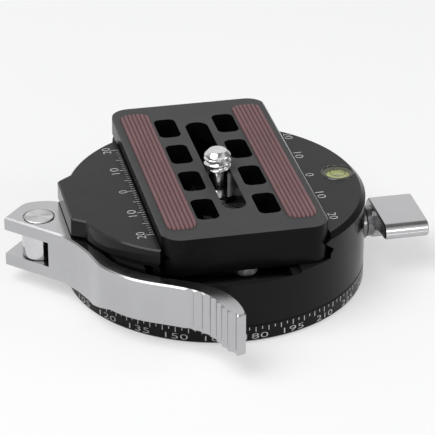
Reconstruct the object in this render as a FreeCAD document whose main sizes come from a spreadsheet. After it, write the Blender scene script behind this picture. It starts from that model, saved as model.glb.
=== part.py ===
"""Panoramic tripod head: a turning clamp with a lever, on a graduated base.

Millimetres. +Z is up, the origin is on the pan axis at the base's lower face,
+X is the clamp's closing direction and +Y is the sliding direction of the quick plate.
"""
import FreeCAD, Part
import math
import os
import re

import Sketcher

V = FreeCAD.Vector
UP = V(0, 0, 1)
ALONG_X = V(1, 0, 0)

doc = FreeCAD.newDocument("PanHead")
sizes = doc.addObject("Spreadsheet::Sheet", "Sizes")

# Dimensions: name, value in millimetres (or a count) or the formula that gives it, meaning.
DIMENSIONS = (
    ("base_radius", 34.76, "graduated base, outer radius"),
    ("base_height", 4.0, "graduated base, height"),
    ("run_gap", 0.05, "gap between flat faces that slide on each other"),
    ("shaft_gap", 0.04, "radial clearance of a running fit"),
    ("free_gap", 0.3, "clearance between curved faces that don't touch"),
    ("flange_radius", 14.0, "spindle flange"),
    ("flange_height", 2.4, "spindle flange"),
    ("spindle_radius", 9.0, "spindle hub, which the head turns on"),
    ("tripod_radius", 4.7625, "3/8 inch tripod thread, nominal radius"),
    ("washer_height", 0.6, "plain thrust washers"),
    ("washer_width", 3.0, "thrust washers, radial width"),
    ("retainer_height", 1.7, "retaining nut on the spindle"),
    ("retainer_width", 3.2, "retaining nut, radial width"),
    ("screw_circle", 11.4, "flange screws, radius of their circle"),
    ("flange_screw_radius", 1.25, "flange screws, shank"),
    ("flange_screw_head", 2.2, "flange screws, head radius"),
    ("flange_screw_count", 3, "flange screws"),
    ("body_radius", "base_radius", "turning body, outer radius"),
    ("rim_chamfer", 1.1, "chamfer round the top rim"),
    ("plate_proud", 3.24, "quick plate, height over the jaws"),
    ("jaw_top", "plate_bottom + plate_height - plate_proud", "top face of both jaws"),
    ("web_top", 10.25, "turning body, floor of the retainer's recess"),
    ("channel_floor", 12.9, "floor of the channel between the jaws"),
    ("lip_top", 14.8, "safety lip at each end of the channel"),
    ("lip_length", 1.76, "safety lips, along the channel"),
    ("lip_wall", "body_radius - lip_length", "inner wall of the safety lips, from the pan axis"),
    ("pedestal_top", 16.87, "slideway under the movable jaw"),
    ("pedestal_inner", "clamp_mid - plate_width / 2 - 3.9", "slideway's wall beside the channel"),
    ("relief_inset", 4.31, "flat beside the lever, in from the disc's rim"),
    ("relief_x", "relief_inset - body_radius", "flat on the turning body beside the lever"),
    ("relief_turn_y", "-0.302 * body_radius", "where the flat turns to follow the lever"),
    ("relief_end_x", "-0.7724 * body_radius", "end of the slanted relief"),
    ("relief_end_y", "-0.656 * body_radius", "end of the slanted relief"),
    ("wall_inset", 7.86, "follower wall, in from the disc's rim"),
    ("wall_inner", "wall_inset - body_radius", "follower wall of the movable jaw, inner face"),
    ("wall_height", 3.0, "follower wall's thickness"),
    ("wall_half", 9.4, "follower wall, half width"),
    ("wall_bottom", 4.9, "follower wall, lower edge"),
    ("pad_height", 0.8, "cam pad's thickness"),
    ("pad_half", 5.0, "cam pad, half width"),
    ("clamp_mid", 1.2, "mid-plane of the closed clamp"),
    ("jaw_proud", 0.34, "movable jaw, its outer flat beyond the disc's rim"),
    ("jaw_left", "-body_radius - jaw_proud", "movable jaw, outer flat"),
    ("jaw_flat_front", -8.0, "front end of that flat"),
    ("jaw_flat_back", 11.0, "back end of that flat"),
    ("jaw_corner", 0.7, "movable jaw, corner radius at that flat"),
    ("jaw_chamfer", 0.35, "movable jaw, chamfer round its top face"),
    ("jaw_front_radius", "body_radius - 1.1", "movable jaw, front arc"),
    ("jaw_front_drop", 0.9, "movable jaw, front end of that arc, in from its radius"),
    ("jaw_back_radius", "body_radius - 0.3", "movable jaw, back arc"),
    ("jaw_front", "-0.78 * body_radius", "movable jaw, front end of its inner edge"),
    ("jaw_back", "0.846 * body_radius", "movable jaw, back end of its inner edge"),
    ("foot_outer", "clamp_mid - plate_width / 2 - 2.0", "movable jaw's inner foot, outer face"),
    ("foot_reach", 2.4, "movable jaw's ledge, reach under the plate"),
    ("ledge_reach", 7.6, "fixed jaw's ledge, reach under the plate"),
    ("floor_step", 2.1, "channel floor, its side in from that ledge"),
    ("plate_width", 38.0, "quick plate, dovetail width"),
    ("plate_length", 68.6, "quick plate"),
    ("plate_front", -29.5, "quick plate, front end as clamped"),
    ("plate_bottom", 15.48, "quick plate, underside"),
    ("plate_height", 9.0, "quick plate"),
    ("plate_corner", 4.5, "quick plate, corner radius"),
    ("plate_chamfer", 0.4, "quick plate, edge chamfer"),
    ("upper_flange", 4.2, "quick plate, depth of the side above the notch"),
    ("notch_open", 2.2, "dovetail notch, height of its mouth"),
    ("notch_deep", 1.5, "dovetail notch, depth"),
    ("slot_width", 5.5, "camera screw slot"),
    ("slot_front", "plate_front + 12.2", "camera screw slot, front end"),
    ("slot_back", "plate_front + plate_length - 10.7", "camera screw slot, back end"),
    ("window_offset", 7.1, "side windows, distance from the mid-plane"),
    ("window_width", 5.2, "side windows"),
    ("window_length", 9.9, "side windows"),
    ("window_corner", 1.6, "side windows, corner radius"),
    ("window_first", "plate_front + 13.5", "side windows, middle of the first"),
    ("window_pitch", "(plate_length - 26.15) / (window_count - 1)", "side windows, pitch"),
    ("window_count", 4, "side windows in one row"),
    ("head_track_width", 12.6, "recess that the camera screw's head slides in"),
    ("head_track_height", 4.6, "that recess, depth"),
    ("strip_offset", 10.25, "rubber strips, inner edge from the mid-plane"),
    ("strip_width", 7.0, "rubber strips"),
    ("strip_front", "plate_front + 5.0", "rubber strips, front end"),
    ("strip_length", "plate_length - 8.8", "rubber strips"),
    ("strip_seat", 1.0, "rubber strips, depth of their recess"),
    ("strip_proud", 0.5, "rubber strips, height over the plate"),
    ("strip_corner", 2.4, "rubber strips, corner radius"),
    ("rib_count", 7, "ribs on a rubber strip"),
    ("rib_groove", 0.35, "grooves between the ribs, depth"),
    ("screw_y", 2.9, "camera screw, place along the slot"),
    ("thread_radius", 3.175, "1/4 inch camera thread"),
    ("thread_bottom", 25.3, "camera thread, lower end"),
    ("thread_top", 29.5, "camera thread, upper end"),
    ("thread_lead", 1.1, "camera thread, cone at its upper end"),
    ("neck_radius", 2.35, "camera screw, neck in the slot"),
    ("head_radius", 5.6, "camera screw, head"),
    ("head_height", 1.9, "camera screw, head"),
    ("coin_slot", 1.5, "camera screw, coin slot width"),
    ("carrier_height", 0.7, "sliding washer over the camera screw's head"),
    ("stop_radius", 2.75, "stop screw, head radius"),
    ("stop_bottom", 13.05, "stop screw, lower end"),
    ("stop_head_top", 16.3, "stop screw, upper side of its head"),
    ("stop_y", "plate_front + 3.4", "stop screw, place"),
    ("stop_play", 0.2, "stop screw, clearance round its head"),
    ("stop_shank", 1.5, "stop screw, shank radius"),
    ("stop_shank_top", 21.0, "stop screw, end of its shank"),
    ("pivot_x", "wall_inner - wall_height - pad_height - free_gap - cam_closed", "lever pivot"),
    ("pivot_y", 3.5, "lever pivot, and the middle of the clamp drive"),
    ("drive_z", 10.3, "middle height of the clamp drive"),
    ("cam_closed", 9.7, "cam, reach towards the jaw when closed"),
    ("cam_back", 7.9, "cam, reach towards the back"),
    ("lever_top", 16.4, "lever, top face"),
    ("lever_bottom", 6.4, "lever, underside of the arm"),
    ("arm_chamfer", 0.35, "lever, chamfer round its top face"),
    ("ear_bottom", 4.15, "lever, underside of the lower ear"),
    ("flute_count", 7, "finger flutes near the lever's tip"),
    ("flute_pitch", 2.35, "finger flutes, along the arm"),
    ("flute_radius", 1.9, "finger flutes, radius of the cutter"),
    ("flute_depth", 0.35, "finger flutes"),
    ("gap_bottom", 7.0, "fork gap, lower face"),
    ("gap_top", 13.2, "fork gap, upper face"),
    ("gap_wall", -3.8, "fork gap, its front wall"),
    ("pin_radius", 2.0, "lever pin"),
    ("pin_head_radius", 3.45, "lever pin, head"),
    ("pin_head_height", 0.8, "lever pin, head"),
    ("pin_head_sunk", 0.6, "lever pin, depth of its head in the lever"),
    ("eye_radius", 4.1, "draw bolt, eye"),
    ("bolt_radius", 2.5, "draw bolt, shank"),
    ("nut_radius", 4.3, "draw nut, over its corners"),
    ("nut_left", "wall_inner + 2.1", "draw nut, bearing face"),
    ("nut_right", "nut_left + 2.4", "draw nut, inner face"),
    ("guide_offset", 7.2, "guide pins, distance from the draw bolt"),
    ("guide_radius", 1.5, "guide pins"),
    ("guide_end", "nut_right + 0.1", "guide pins, inner end"),
    ("spring_bore", 2.6, "recess for a return spring, radius"),
    ("spring_depth", 3.7, "recess for a return spring, depth"),
    ("spring_wire", 0.28, "return spring, wire radius"),
    ("spring_turns", 3, "return spring"),
    ("lock_y", 0.25, "pan lock axis"),
    ("lock_z", 8.3, "pan lock axis"),
    ("shoe_radius", 1.5, "brake shoe"),
    ("shoe_length", 6.28, "brake shoe"),
    ("shoe_end", "spindle_radius + shoe_gap + shoe_length", "brake shoe, outer end"),
    ("shoe_gap", 0.32, "brake shoe, gap to the spindle as released"),
    ("lock_radius", 2.5, "lock shaft"),
    ("lock_bore_end", "shoe_end + 0.8", "lock shaft's bore, inner end"),
    ("insert_radius", 3.6, "lock bush, barrel"),
    ("insert_length", 8.9, "lock bush"),
    ("insert_start", "insert_outer - insert_length", "lock bush, inner end"),
    ("insert_flange", 4.1, "lock bush, flange radius"),
    ("flange_proud", 1.14, "lock bush, height of its flange"),
    ("insert_outer", "body_radius + flange_proud", "lock bush, outer face"),
    ("lock_play", 0.4, "lock shaft, run-out of its collar"),
    ("collar_start", "insert_outer + lock_play", "lock shaft's collar, inner face"),
    ("collar_height", 1.5, "lock shaft's collar"),
    ("collar_radius", 3.7, "lock shaft's collar"),
    ("paddle_start", "collar_start + collar_height", "thumb paddle, inner end"),
    ("paddle_width", 10.65, "thumb paddle, along its axis"),
    ("paddle_end", "paddle_start + paddle_width", "thumb paddle, outer end"),
    ("paddle_hub", 4.7, "thumb paddle, radius of its hub"),
    ("paddle_bore", 7.0, "thumb paddle, depth of its bore"),
    ("paddle_top", 12.75, "thumb paddle, flat top"),
    ("paddle_reach", -11.9, "thumb paddle, front edge"),
    ("paddle_pin_radius", 0.9, "cross pin of the thumb paddle"),
    ("level_inset", 5.09, "bubble level, in from the disc's rim"),
    ("level_x", "body_radius - level_inset", "bubble level"),
    ("level_y", 1.36, "bubble level"),
    ("level_radius", 4.0, "bubble level, cup"),
    ("level_depth", 3.4, "bubble level, cup"),
    ("vial_radius", 2.95, "bubble level, window"),
    ("vial_height", 0.8, "bubble level, window"),
    ("bubble_radius", 0.95, "bubble"),
)

ALIASES = set()


def fill_sheet():
    """Write each dimension or formula to its own cell, with its name as the alias."""
    for row, (name, amount, meaning) in enumerate(DIMENSIONS, start=1):
        sizes.set("A%d" % row, meaning)
        sizes.set("B%d" % row, "=" + amount if isinstance(amount, str) else str(amount))
        sizes.setAlias("B%d" % row, name)
        ALIASES.add(name)
    doc.recompute()


def link(text):
    """Turn 'base_height + run_gap' into an expression on the sheet's cells."""
    def full(match):
        word = match.group(0)
        return "Sizes." + word if word in ALIASES else word
    return re.sub(r"[A-Za-z_][A-Za-z_0-9]*", full, text)


def value(text):
    """The number that such an expression gives now."""
    return float(sizes.evalExpression(link(text)))


fill_sheet()


# ---------------------------------------------------------------- sketch helpers

def new_body(label):
    body = doc.addObject("PartDesign::Body", label)
    body.Label = label
    return body


def new_sketch(body, plane, offset="0"):
    """A sketch on one of the body's own origin planes, moved along its normal."""
    sketch = body.newObject("Sketcher::SketchObject", "Sketch")
    roles = {feature.Role: feature for feature in body.Origin.OriginFeatures}
    sketch.AttachmentSupport = (roles[plane + "_Plane"], [""])
    sketch.MapMode = "FlatFace"
    sketch.setExpression("AttachmentOffset.Base.z", link(offset))
    return sketch


def pin_point(sketch, geometry, position, across, up):
    """Hold a point of the sketch at two expressions."""
    for kind, text, axis in (("DistanceX", across, -2), ("DistanceY", up, -1)):
        if text == "0":
            sketch.addConstraint(Sketcher.Constraint("PointOnObject", geometry, position, axis))
        else:
            held = Sketcher.Constraint(kind, -1, 1, geometry, position, value(text))
            index = sketch.addConstraint(held)
            sketch.setExpression("Constraints[%d]" % index, link(text))


def draw_polygon(sketch, corners):
    """A closed outline through corners given as pairs of expressions."""
    points = [V(value(across), value(up), 0) for across, up in corners]
    first = sketch.GeometryCount
    count = len(points)
    for index in range(count):
        sketch.addGeometry(Part.LineSegment(points[index], points[(index + 1) % count]), False)
    for index in range(count):
        following = first + (index + 1) % count
        sketch.addConstraint(Sketcher.Constraint("Coincident", first + index, 2, following, 1))
    for index, (across, up) in enumerate(corners):
        pin_point(sketch, first + index, 1, across, up)


def draw_circle(sketch, across, up, radius):
    circle = Part.Circle(V(value(across), value(up), 0), UP, value(radius))
    index = sketch.addGeometry(circle, False)
    pin_point(sketch, index, 3, across, up)
    held = sketch.addConstraint(Sketcher.Constraint("Radius", index, value(radius)))
    sketch.setExpression("Constraints[%d]" % held, link(radius))


def rectangle(left, right, low, high):
    return ((left, low), (right, low), (right, high), (left, high))


def draw_round_rectangle(sketch, left, right, low, high, radius):
    """A rectangle with rounded corners: four sides and four tangent arcs."""
    x0, x1, y0, y1, r = (value(text) for text in (left, right, low, high, radius))
    first = sketch.GeometryCount
    sides = (
        (V(x0 + r, y0, 0), V(x1 - r, y0, 0)),
        (V(x1, y0 + r, 0), V(x1, y1 - r, 0)),
        (V(x1 - r, y1, 0), V(x0 + r, y1, 0)),
        (V(x0, y1 - r, 0), V(x0, y0 + r, 0)),
    )
    middles = ((x1 - r, y0 + r, -90), (x1 - r, y1 - r, 0), (x0 + r, y1 - r, 90), (x0 + r, y0 + r, 180))
    for start, end in sides:
        sketch.addGeometry(Part.LineSegment(start, end), False)
    for x, y, start in middles:
        circle = Part.Circle(V(x, y, 0), UP, r)
        arc = Part.ArcOfCircle(circle, math.radians(start), math.radians(start + 90))
        sketch.addGeometry(arc, False)
    for index in range(4):
        side, corner = first + index, first + 4 + index
        following = first + (index + 1) % 4
        sketch.addConstraint(Sketcher.Constraint("Tangent", side, 2, corner, 1))
        sketch.addConstraint(Sketcher.Constraint("Tangent", corner, 2, following, 1))
    for index, kind in ((0, "Horizontal"), (2, "Horizontal"), (1, "Vertical"), (3, "Vertical")):
        sketch.addConstraint(Sketcher.Constraint(kind, first + index))
    for index in range(1, 4):
        sketch.addConstraint(Sketcher.Constraint("Equal", first + 4, first + 4 + index))
    held = (("Radius", (first + 4,), radius), ("DistanceY", (-1, 1, first, 1), low),
            ("DistanceX", (-1, 1, first + 1, 1), right), ("DistanceY", (-1, 1, first + 2, 1), high),
            ("DistanceX", (-1, 1, first + 3, 1), left))
    for kind, where, text in held:
        index = sketch.addConstraint(Sketcher.Constraint(kind, *where, value(text)))
        sketch.setExpression("Constraints[%d]" % index, link(text))


def shaped(body, kind, sketch, length=None, backwards=False):
    """Add a Pad, Pocket, Revolution or Groove, and make sure that it changed the solid."""
    before = body.Shape.Volume if body.Tip else 0.0
    feature = body.newObject("PartDesign::" + kind, kind)
    feature.Profile = sketch
    feature.Reversed = backwards
    if kind in ("Revolution", "Groove"):
        feature.ReferenceAxis = (sketch, ["V_Axis"])
        feature.Angle = 360.0
    else:
        feature.setExpression("Length", link(length))
    sketch.Visibility = False
    body.Tip = feature
    doc.recompute()
    change = body.Shape.Volume - before
    adds = kind in ("Pad", "Revolution")
    if (change > 1e-6) != adds or abs(change) < 1e-6:
        raise RuntimeError("%s: %s changed nothing" % (body.Label, kind))
    return feature


def pad(body, plane, offset, length, corners, backwards=False):
    sketch = new_sketch(body, plane, offset)
    draw_polygon(sketch, corners)
    return shaped(body, "Pad", sketch, length, backwards)


def pocket(body, plane, offset, length, corners, backwards=False):
    sketch = new_sketch(body, plane, offset)
    draw_polygon(sketch, corners)
    return shaped(body, "Pocket", sketch, length, backwards)


def drill(body, plane, offset, length, across, up, radius, backwards=False):
    sketch = new_sketch(body, plane, offset)
    draw_circle(sketch, across, up, radius)
    return shaped(body, "Pocket", sketch, length, backwards)


def stud(body, plane, offset, length, across, up, radius, backwards=False):
    sketch = new_sketch(body, plane, offset)
    draw_circle(sketch, across, up, radius)
    return shaped(body, "Pad", sketch, length, backwards)


def turn(body, corners, kind="Revolution"):
    """Revolve a profile of (radius, height) corners round Z."""
    sketch = new_sketch(body, "XZ")
    draw_polygon(sketch, corners)
    return shaped(body, kind, sketch)


def repeat_round(body, feature, count):
    """Polar pattern of a feature round Z."""
    pattern = body.newObject("PartDesign::PolarPattern", "PolarPattern")
    pattern.Originals = [feature]
    roles = {item.Role: item for item in body.Origin.OriginFeatures}
    pattern.Axis = (roles["Z_Axis"], [""])
    pattern.Angle = 360.0
    pattern.setExpression("Occurrences", link(count))
    body.Tip = pattern
    doc.recompute()
    return pattern


def repeat_along(body, features, axis, spread, count):
    """Linear pattern of features along one of the body's axes."""
    pattern = body.newObject("PartDesign::LinearPattern", "LinearPattern")
    pattern.Originals = list(features)
    roles = {item.Role: item for item in body.Origin.OriginFeatures}
    pattern.Direction = (roles[axis + "_Axis"], [""])
    pattern.setExpression("Length", link(spread))
    pattern.setExpression("Occurrences", link(count))
    body.Tip = pattern
    doc.recompute()
    return pattern


def soften(body, kind, chosen, amount):
    """Fillet or Chamfer the edges of the last feature that the test chooses."""
    base = body.Tip
    names = ["Edge%d" % (number + 1) for number, edge in enumerate(base.Shape.Edges) if chosen(edge)]
    feature = body.newObject("PartDesign::" + kind, kind)
    feature.Base = (base, names)
    feature.setExpression("Radius" if kind == "Fillet" else "Size", link(amount))
    body.Tip = feature
    doc.recompute()
    return feature


def at_height(height, tolerance=0.01):
    """Chooses edges that lie flat at a height."""
    level = value(height)

    def chosen(edge):
        box = edge.BoundBox
        return abs(box.ZMin - level) < tolerance and abs(box.ZMax - level) < tolerance
    return chosen


def plain_feature(label, shape):
    """A sub-part whose shape is worked out from the sheet's values with Part's functions."""
    feature = doc.addObject("Part::Feature", label)
    feature.Label = label
    feature.Shape = shape
    feature.Placement = shape.Placement
    return feature


# ---------------------------------------------------------------- base group

def make_scale_base():
    """Graduated disc that stays still on the tripod, with a seat for the spindle's flange."""
    body = new_body("scale_base")
    turn(body, (
        ("flange_radius + shaft_gap", "0"),
        ("base_radius - 0.4", "0"),
        ("base_radius", "0.4"),
        ("base_radius", "base_height - 0.15"),
        ("base_radius - 0.15", "base_height"),
        ("spindle_radius + shaft_gap", "base_height"),
        ("spindle_radius + shaft_gap", "flange_height"),
        ("flange_radius + shaft_gap", "flange_height"),
    ))
    hole = drill(body, "XY", "base_height", "base_height", "screw_circle", "0",
                 "flange_screw_radius")
    repeat_round(body, hole, "flange_screw_count")


def make_spindle():
    """Flanged hub with the tripod thread right through it; the head turns on its barrel."""
    body = new_body("spindle")
    turn(body, (
        ("tripod_radius", "0"),
        ("flange_radius", "0"),
        ("flange_radius", "flange_height"),
        ("spindle_radius", "flange_height"),
        ("spindle_radius", "channel_floor - 0.9"),
        ("spindle_radius - 0.5", "channel_floor - 0.4"),
        ("tripod_radius", "channel_floor - 0.4"),
    ))
    hole = drill(body, "XY", "flange_height", "flange_height", "screw_circle", "0",
                 "flange_screw_radius")
    seat = drill(body, "XY", "0", "1.4", "screw_circle", "0", "flange_screw_head + 0.1", True)
    pattern = repeat_round(body, hole, "flange_screw_count")
    pattern.Originals = [hole, seat]
    doc.recompute()


def make_spindle_screws():
    """Flange screws from below, in one node: pan heads sunk in their seats."""
    solids = []
    count = int(value("flange_screw_count"))
    for number in range(count):
        turn_by = 2 * math.pi * number / count
        foot = V(math.cos(turn_by), math.sin(turn_by), 0) * value("screw_circle")
        head = Part.makeCylinder(value("flange_screw_head"), 1.3, foot + UP * 0.1)
        shank = Part.makeCylinder(value("flange_screw_radius"), value("base_height") - 1.8, foot + UP * 1.4)
        key = Part.makeBox(2.4, 0.6, 0.6, foot + V(-1.2, -0.3, 0))
        solids.append(head.fuse(shank).cut(key).removeSplitter())
    plain_feature("spindle_screws", Part.makeCompound(solids))


def make_washer(label, inner, bottom):
    """Plain thrust washer round the spindle."""
    body = new_body(label)
    turn(body, rectangle(inner, inner + " + washer_width", bottom, bottom + " + washer_height"))


def make_retainer_nut():
    """Ring nut on the spindle's upper end; two blind holes take a pin spanner."""
    body = new_body("retainer_nut")
    bottom = "web_top + run_gap + washer_height"
    turn(body, (
        ("spindle_radius", bottom),
        ("spindle_radius + retainer_width", bottom),
        ("spindle_radius + retainer_width", bottom + " + retainer_height"),
        ("spindle_radius", bottom + " + retainer_height"),
    ))
    hole = drill(body, "XY", bottom + " + retainer_height", "1.1", "0",
                 "spindle_radius + retainer_width / 2", "0.6")
    repeat_round(body, hole, "2")


# ---------------------------------------------------------------- turning body

LEFT_EDGE = "clamp_mid - plate_width / 2"
RIGHT_EDGE = "clamp_mid + plate_width / 2"


def jaw_section(edge, out, reach):
    """Corners of a jaw's inner side, from its top edge down to its ledge.

    edge is the plate's side; out is '-' for the left jaw and '+' for the right one,
    the way that leads away from the plate; reach is the ledge's under the plate.
    """
    into = "+" if out == "-" else "-"
    notch = "(plate_bottom + plate_height - upper_flange)"
    flange = "(plate_bottom + plate_height - upper_flange - notch_open)"
    return (
        (edge + out + "0.2", "jaw_top"),
        (edge + out + "0.2", notch + " - 0.06"),
        (edge + into + "(notch_deep - 0.25)", notch + " - 0.7"),
        (edge + into + "(notch_deep - 0.25)", flange + " + notch_deep - 0.13"),
        (edge + out + "0.95", flange + " - 0.65"),
        (edge + out + "0.95", flange + " - 0.85"),
        (edge + out + "0.15", flange + " - 1.7"),
        (edge + out + "0.15", "plate_bottom - 0.12"),
        (edge + into + reach, "plate_bottom - 0.12"),
    )


def make_pan_body():
    """The turning body with the fixed jaw: a disc with the dovetail channel milled across it."""
    body = new_body("pan_body")
    turn(body, (
        ("spindle_radius + shaft_gap", "base_height + washer_height + run_gap"),
        ("spindle_radius + washer_width + 0.2", "base_height + washer_height + run_gap"),
        ("spindle_radius + washer_width + 0.2", "base_height + run_gap"),
        ("body_radius - 0.15", "base_height + run_gap"),
        ("body_radius", "base_height + run_gap + 0.15"),
        ("body_radius", "jaw_top - rim_chamfer"),
        ("body_radius - rim_chamfer", "jaw_top"),
        ("spindle_radius + retainer_width + free_gap", "jaw_top"),
        ("spindle_radius + retainer_width + free_gap", "web_top"),
        ("spindle_radius + shaft_gap", "web_top"),
    ))
    right = jaw_section(RIGHT_EDGE, "+", "ledge_reach")
    channel = right + (
        (RIGHT_EDGE + "- ledge_reach", "lip_top"),
        ("pedestal_inner", "lip_top"),
        ("pedestal_inner", "pedestal_top"),
        ("-body_radius - 2", "pedestal_top"),
        ("-body_radius - 2", "jaw_top + 1"),
        (RIGHT_EDGE + "+ 0.2", "jaw_top + 1"),
    )
    pocket(body, "XZ", "body_radius + 2", "2 * body_radius + 4", channel)
    pocket(body, "XY", "lip_top + 0.5", "lip_top + 0.5 - channel_floor",
           rectangle("pedestal_inner", RIGHT_EDGE + "- ledge_reach - floor_step", "-lip_wall", "lip_wall"))
    pocket(body, "XY", "jaw_top + 1", "jaw_top + 1", (
        ("-body_radius - 2", "body_radius + 2"),
        ("-body_radius - 2", "-body_radius"),
        ("relief_end_x", "-body_radius"),
        ("relief_end_x", "relief_end_y"),
        ("relief_x", "relief_turn_y"),
        ("relief_x", "body_radius + 2"),
    ))
    pocket(body, "XY", "jaw_top + 1", "jaw_top + 1",
           rectangle("relief_x - 2", "wall_inner + free_gap", "pivot_y - wall_half - free_gap",
                     "pivot_y + wall_half + free_gap"))
    drill(body, "YZ", "nut_right + 0.7", "nut_right + 0.7 - wall_inner + 1", "pivot_y", "drive_z",
          "bolt_radius + shaft_gap")
    pocket(body, "XY", "drive_z + nut_radius * 0.9", "drive_z + nut_radius",
           rectangle("nut_left", "nut_right + 0.15", "pivot_y - nut_radius - 0.1",
                     "pivot_y + nut_radius + 0.1"))
    for side in ("+", "-"):
        place = "pivot_y" + side + "guide_offset"
        drill(body, "YZ", "guide_end + 0.3", "6", place, "drive_z", "guide_radius + shaft_gap")
        drill(body, "YZ", "wall_inner + free_gap + spring_depth", "spring_depth + 1", place,
              "drive_z", "spring_bore")
    drill(body, "YZ", "body_radius + 1", "body_radius + 2 - spindle_radius", "lock_y", "lock_z",
          "shoe_radius + shaft_gap")
    drill(body, "YZ", "body_radius + 1", "body_radius + 1 - lock_bore_end", "lock_y", "lock_z",
          "lock_radius + shaft_gap")
    drill(body, "YZ", "body_radius + 1", "body_radius + 1 - insert_start", "lock_y", "lock_z",
          "insert_radius")
    drill(body, "XY", "jaw_top", "level_depth", "level_x", "level_y", "level_radius")


def make_movable_jaw():
    """Sliding jaw: a flat plate with the dovetail lip, an inner foot and the follower wall."""
    body = new_body("movable_jaw")
    section = jaw_section(LEFT_EDGE, "-", "foot_reach") + (
        (LEFT_EDGE + "+ foot_reach", "channel_floor + 0.12"),
        ("foot_outer", "channel_floor + 0.12"),
        ("foot_outer", "pedestal_top + 0.08"),
        ("jaw_left", "pedestal_top + 0.08"),
        ("jaw_left", "jaw_top"),
    )
    pad(body, "XZ", "-jaw_front", "jaw_back - jaw_front", section, True)
    trim = new_sketch(body, "XY", "jaw_top + 1")
    draw_polygon(trim, rectangle("-body_radius - 9", "body_radius", "-body_radius - 9", "body_radius + 9"))
    draw_jaw_plan(trim)
    shaped(body, "Pocket", trim, "jaw_top + 1")
    soften(body, "Fillet", outer_corner, "jaw_corner")
    soften(body, "Chamfer", outer_top_edge, "jaw_chamfer")
    pad(body, "XY", "wall_bottom", "pedestal_top + 0.08 - wall_bottom",
        rectangle("wall_inner - wall_height", "wall_inner", "pivot_y - wall_half", "pivot_y + wall_half"))
    drill(body, "YZ", "wall_inner + 1", "wall_height + 2", "pivot_y", "drive_z", "bolt_radius + 0.4")
    for side in ("+", "-"):
        drill(body, "YZ", "wall_inner + 1", "wall_height + 0.4", "pivot_y" + side + "guide_offset",
              "drive_z", "guide_radius")


def draw_jaw_plan(sketch):
    """The movable jaw seen from above: outer flat, two short slants, two arcs, a slanted front end."""
    left, front, back = value("jaw_left"), value("jaw_flat_front"), value("jaw_flat_back")
    front_radius, back_radius = value("jaw_front_radius"), value("jaw_back_radius")
    inner = value("clamp_mid - plate_width / 2 + foot_reach + 1")

    def on_circle(radius, y):
        return V(-math.sqrt(radius * radius - y * y), y, 0)

    front_start = on_circle(front_radius, front - 2.2)
    front_end = on_circle(front_radius - value("jaw_front_drop"), value("jaw_front"))
    front_inner = V(inner, front_end.y + inner - front_end.x, 0)
    back_start = on_circle(back_radius, back + 2.6)
    back_end = on_circle(back_radius, value("jaw_back"))
    front_mid = on_circle(front_radius, (front_start.y + front_end.y) / 2)
    back_mid = on_circle(back_radius, (back_start.y + back_end.y) / 2)
    lines = (
        (V(left, back, 0), V(left, front, 0)),
        (V(left, front, 0), front_start),
        (front_end, front_inner),
        (front_inner, V(inner, value("jaw_back"), 0)),
        (V(inner, value("jaw_back"), 0), back_end),
        (back_start, V(left, back, 0)),
    )
    for start, end in lines:
        sketch.addGeometry(Part.LineSegment(start, end), False)
    sketch.addGeometry(Part.Arc(front_start, front_mid, front_end), False)
    sketch.addGeometry(Part.Arc(back_end, back_mid, back_start), False)


def outer_corner(edge):
    """The jaw's two upright edges at the ends of its outer flat."""
    box = edge.BoundBox
    upright = box.XLength < 0.01 and box.YLength < 0.01
    return upright and abs(box.XMin - value("jaw_left")) < 0.01


def outer_top_edge(edge):
    """The jaw's top edges, without the inner one beside the plate."""
    box = edge.BoundBox
    flat_top = abs(box.ZMin - value("jaw_top")) < 0.01 and abs(box.ZMax - value("jaw_top")) < 0.01
    inner = box.XMin > value(LEFT_EDGE + "- 0.8")
    return flat_top and not inner and box.YMin < value("jaw_back") - 0.05


def make_cam_pad():
    """Hard steel pad on the follower wall, where the lever's cam bears."""
    body = new_body("cam_pad")
    pad(body, "XY", "wall_bottom", "lever_top + 0.3 - wall_bottom",
        rectangle("wall_inner - wall_height - pad_height", "wall_inner - wall_height",
                  "pivot_y - pad_half", "pivot_y + pad_half"))
    drill(body, "YZ", "wall_inner", "wall_height + 2", "pivot_y", "drive_z", "bolt_radius + 0.4")


# ---------------------------------------------------------------- clamp drive

def make_draw_bolt():
    """Eye bolt that holds the lever's pin to the turning body."""
    body = new_body("draw_bolt")
    stud(body, "XY", "gap_bottom + 0.15", "gap_top - gap_bottom - 0.3", "pivot_x", "pivot_y",
         "eye_radius")
    stud(body, "YZ", "pivot_x + eye_radius - 1", "nut_right - pivot_x - eye_radius + 1", "pivot_y",
         "drive_z", "bolt_radius")
    drill(body, "XY", "gap_top", "gap_top - gap_bottom", "pivot_x", "pivot_y",
          "pin_radius + shaft_gap")


def make_draw_nut():
    """Hexagon nut on the draw bolt, in its pocket in the turning body."""
    x0, x1 = value("nut_left"), value("nut_right")
    y, z, radius = value("pivot_y"), value("drive_z"), value("nut_radius")
    corners = []
    for number in range(7):
        angle = math.radians(60 * number)
        corners.append(V(x0, y + radius * math.cos(angle), z + radius * math.sin(angle)))
    prism = Part.Face(Part.makePolygon(corners)).extrude(V(x1 - x0, 0, 0))
    bore = Part.makeCylinder(value("bolt_radius"), x1 - x0, V(x0, y, z), ALONG_X)
    plain_feature("draw_nut", prism.cut(bore))


def make_guide_pins():
    """Two dowels pressed in the follower wall, sliding in the body's bores: one node."""
    solids = []
    start, end = value("wall_inner - wall_height + 0.6"), value("guide_end")
    for side in (1, -1):
        foot = V(start, value("pivot_y") + side * value("guide_offset"), value("drive_z"))
        solids.append(Part.makeCylinder(value("guide_radius"), end - start, foot, ALONG_X))
    plain_feature("guide_pins", Part.makeCompound(solids))


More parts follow.
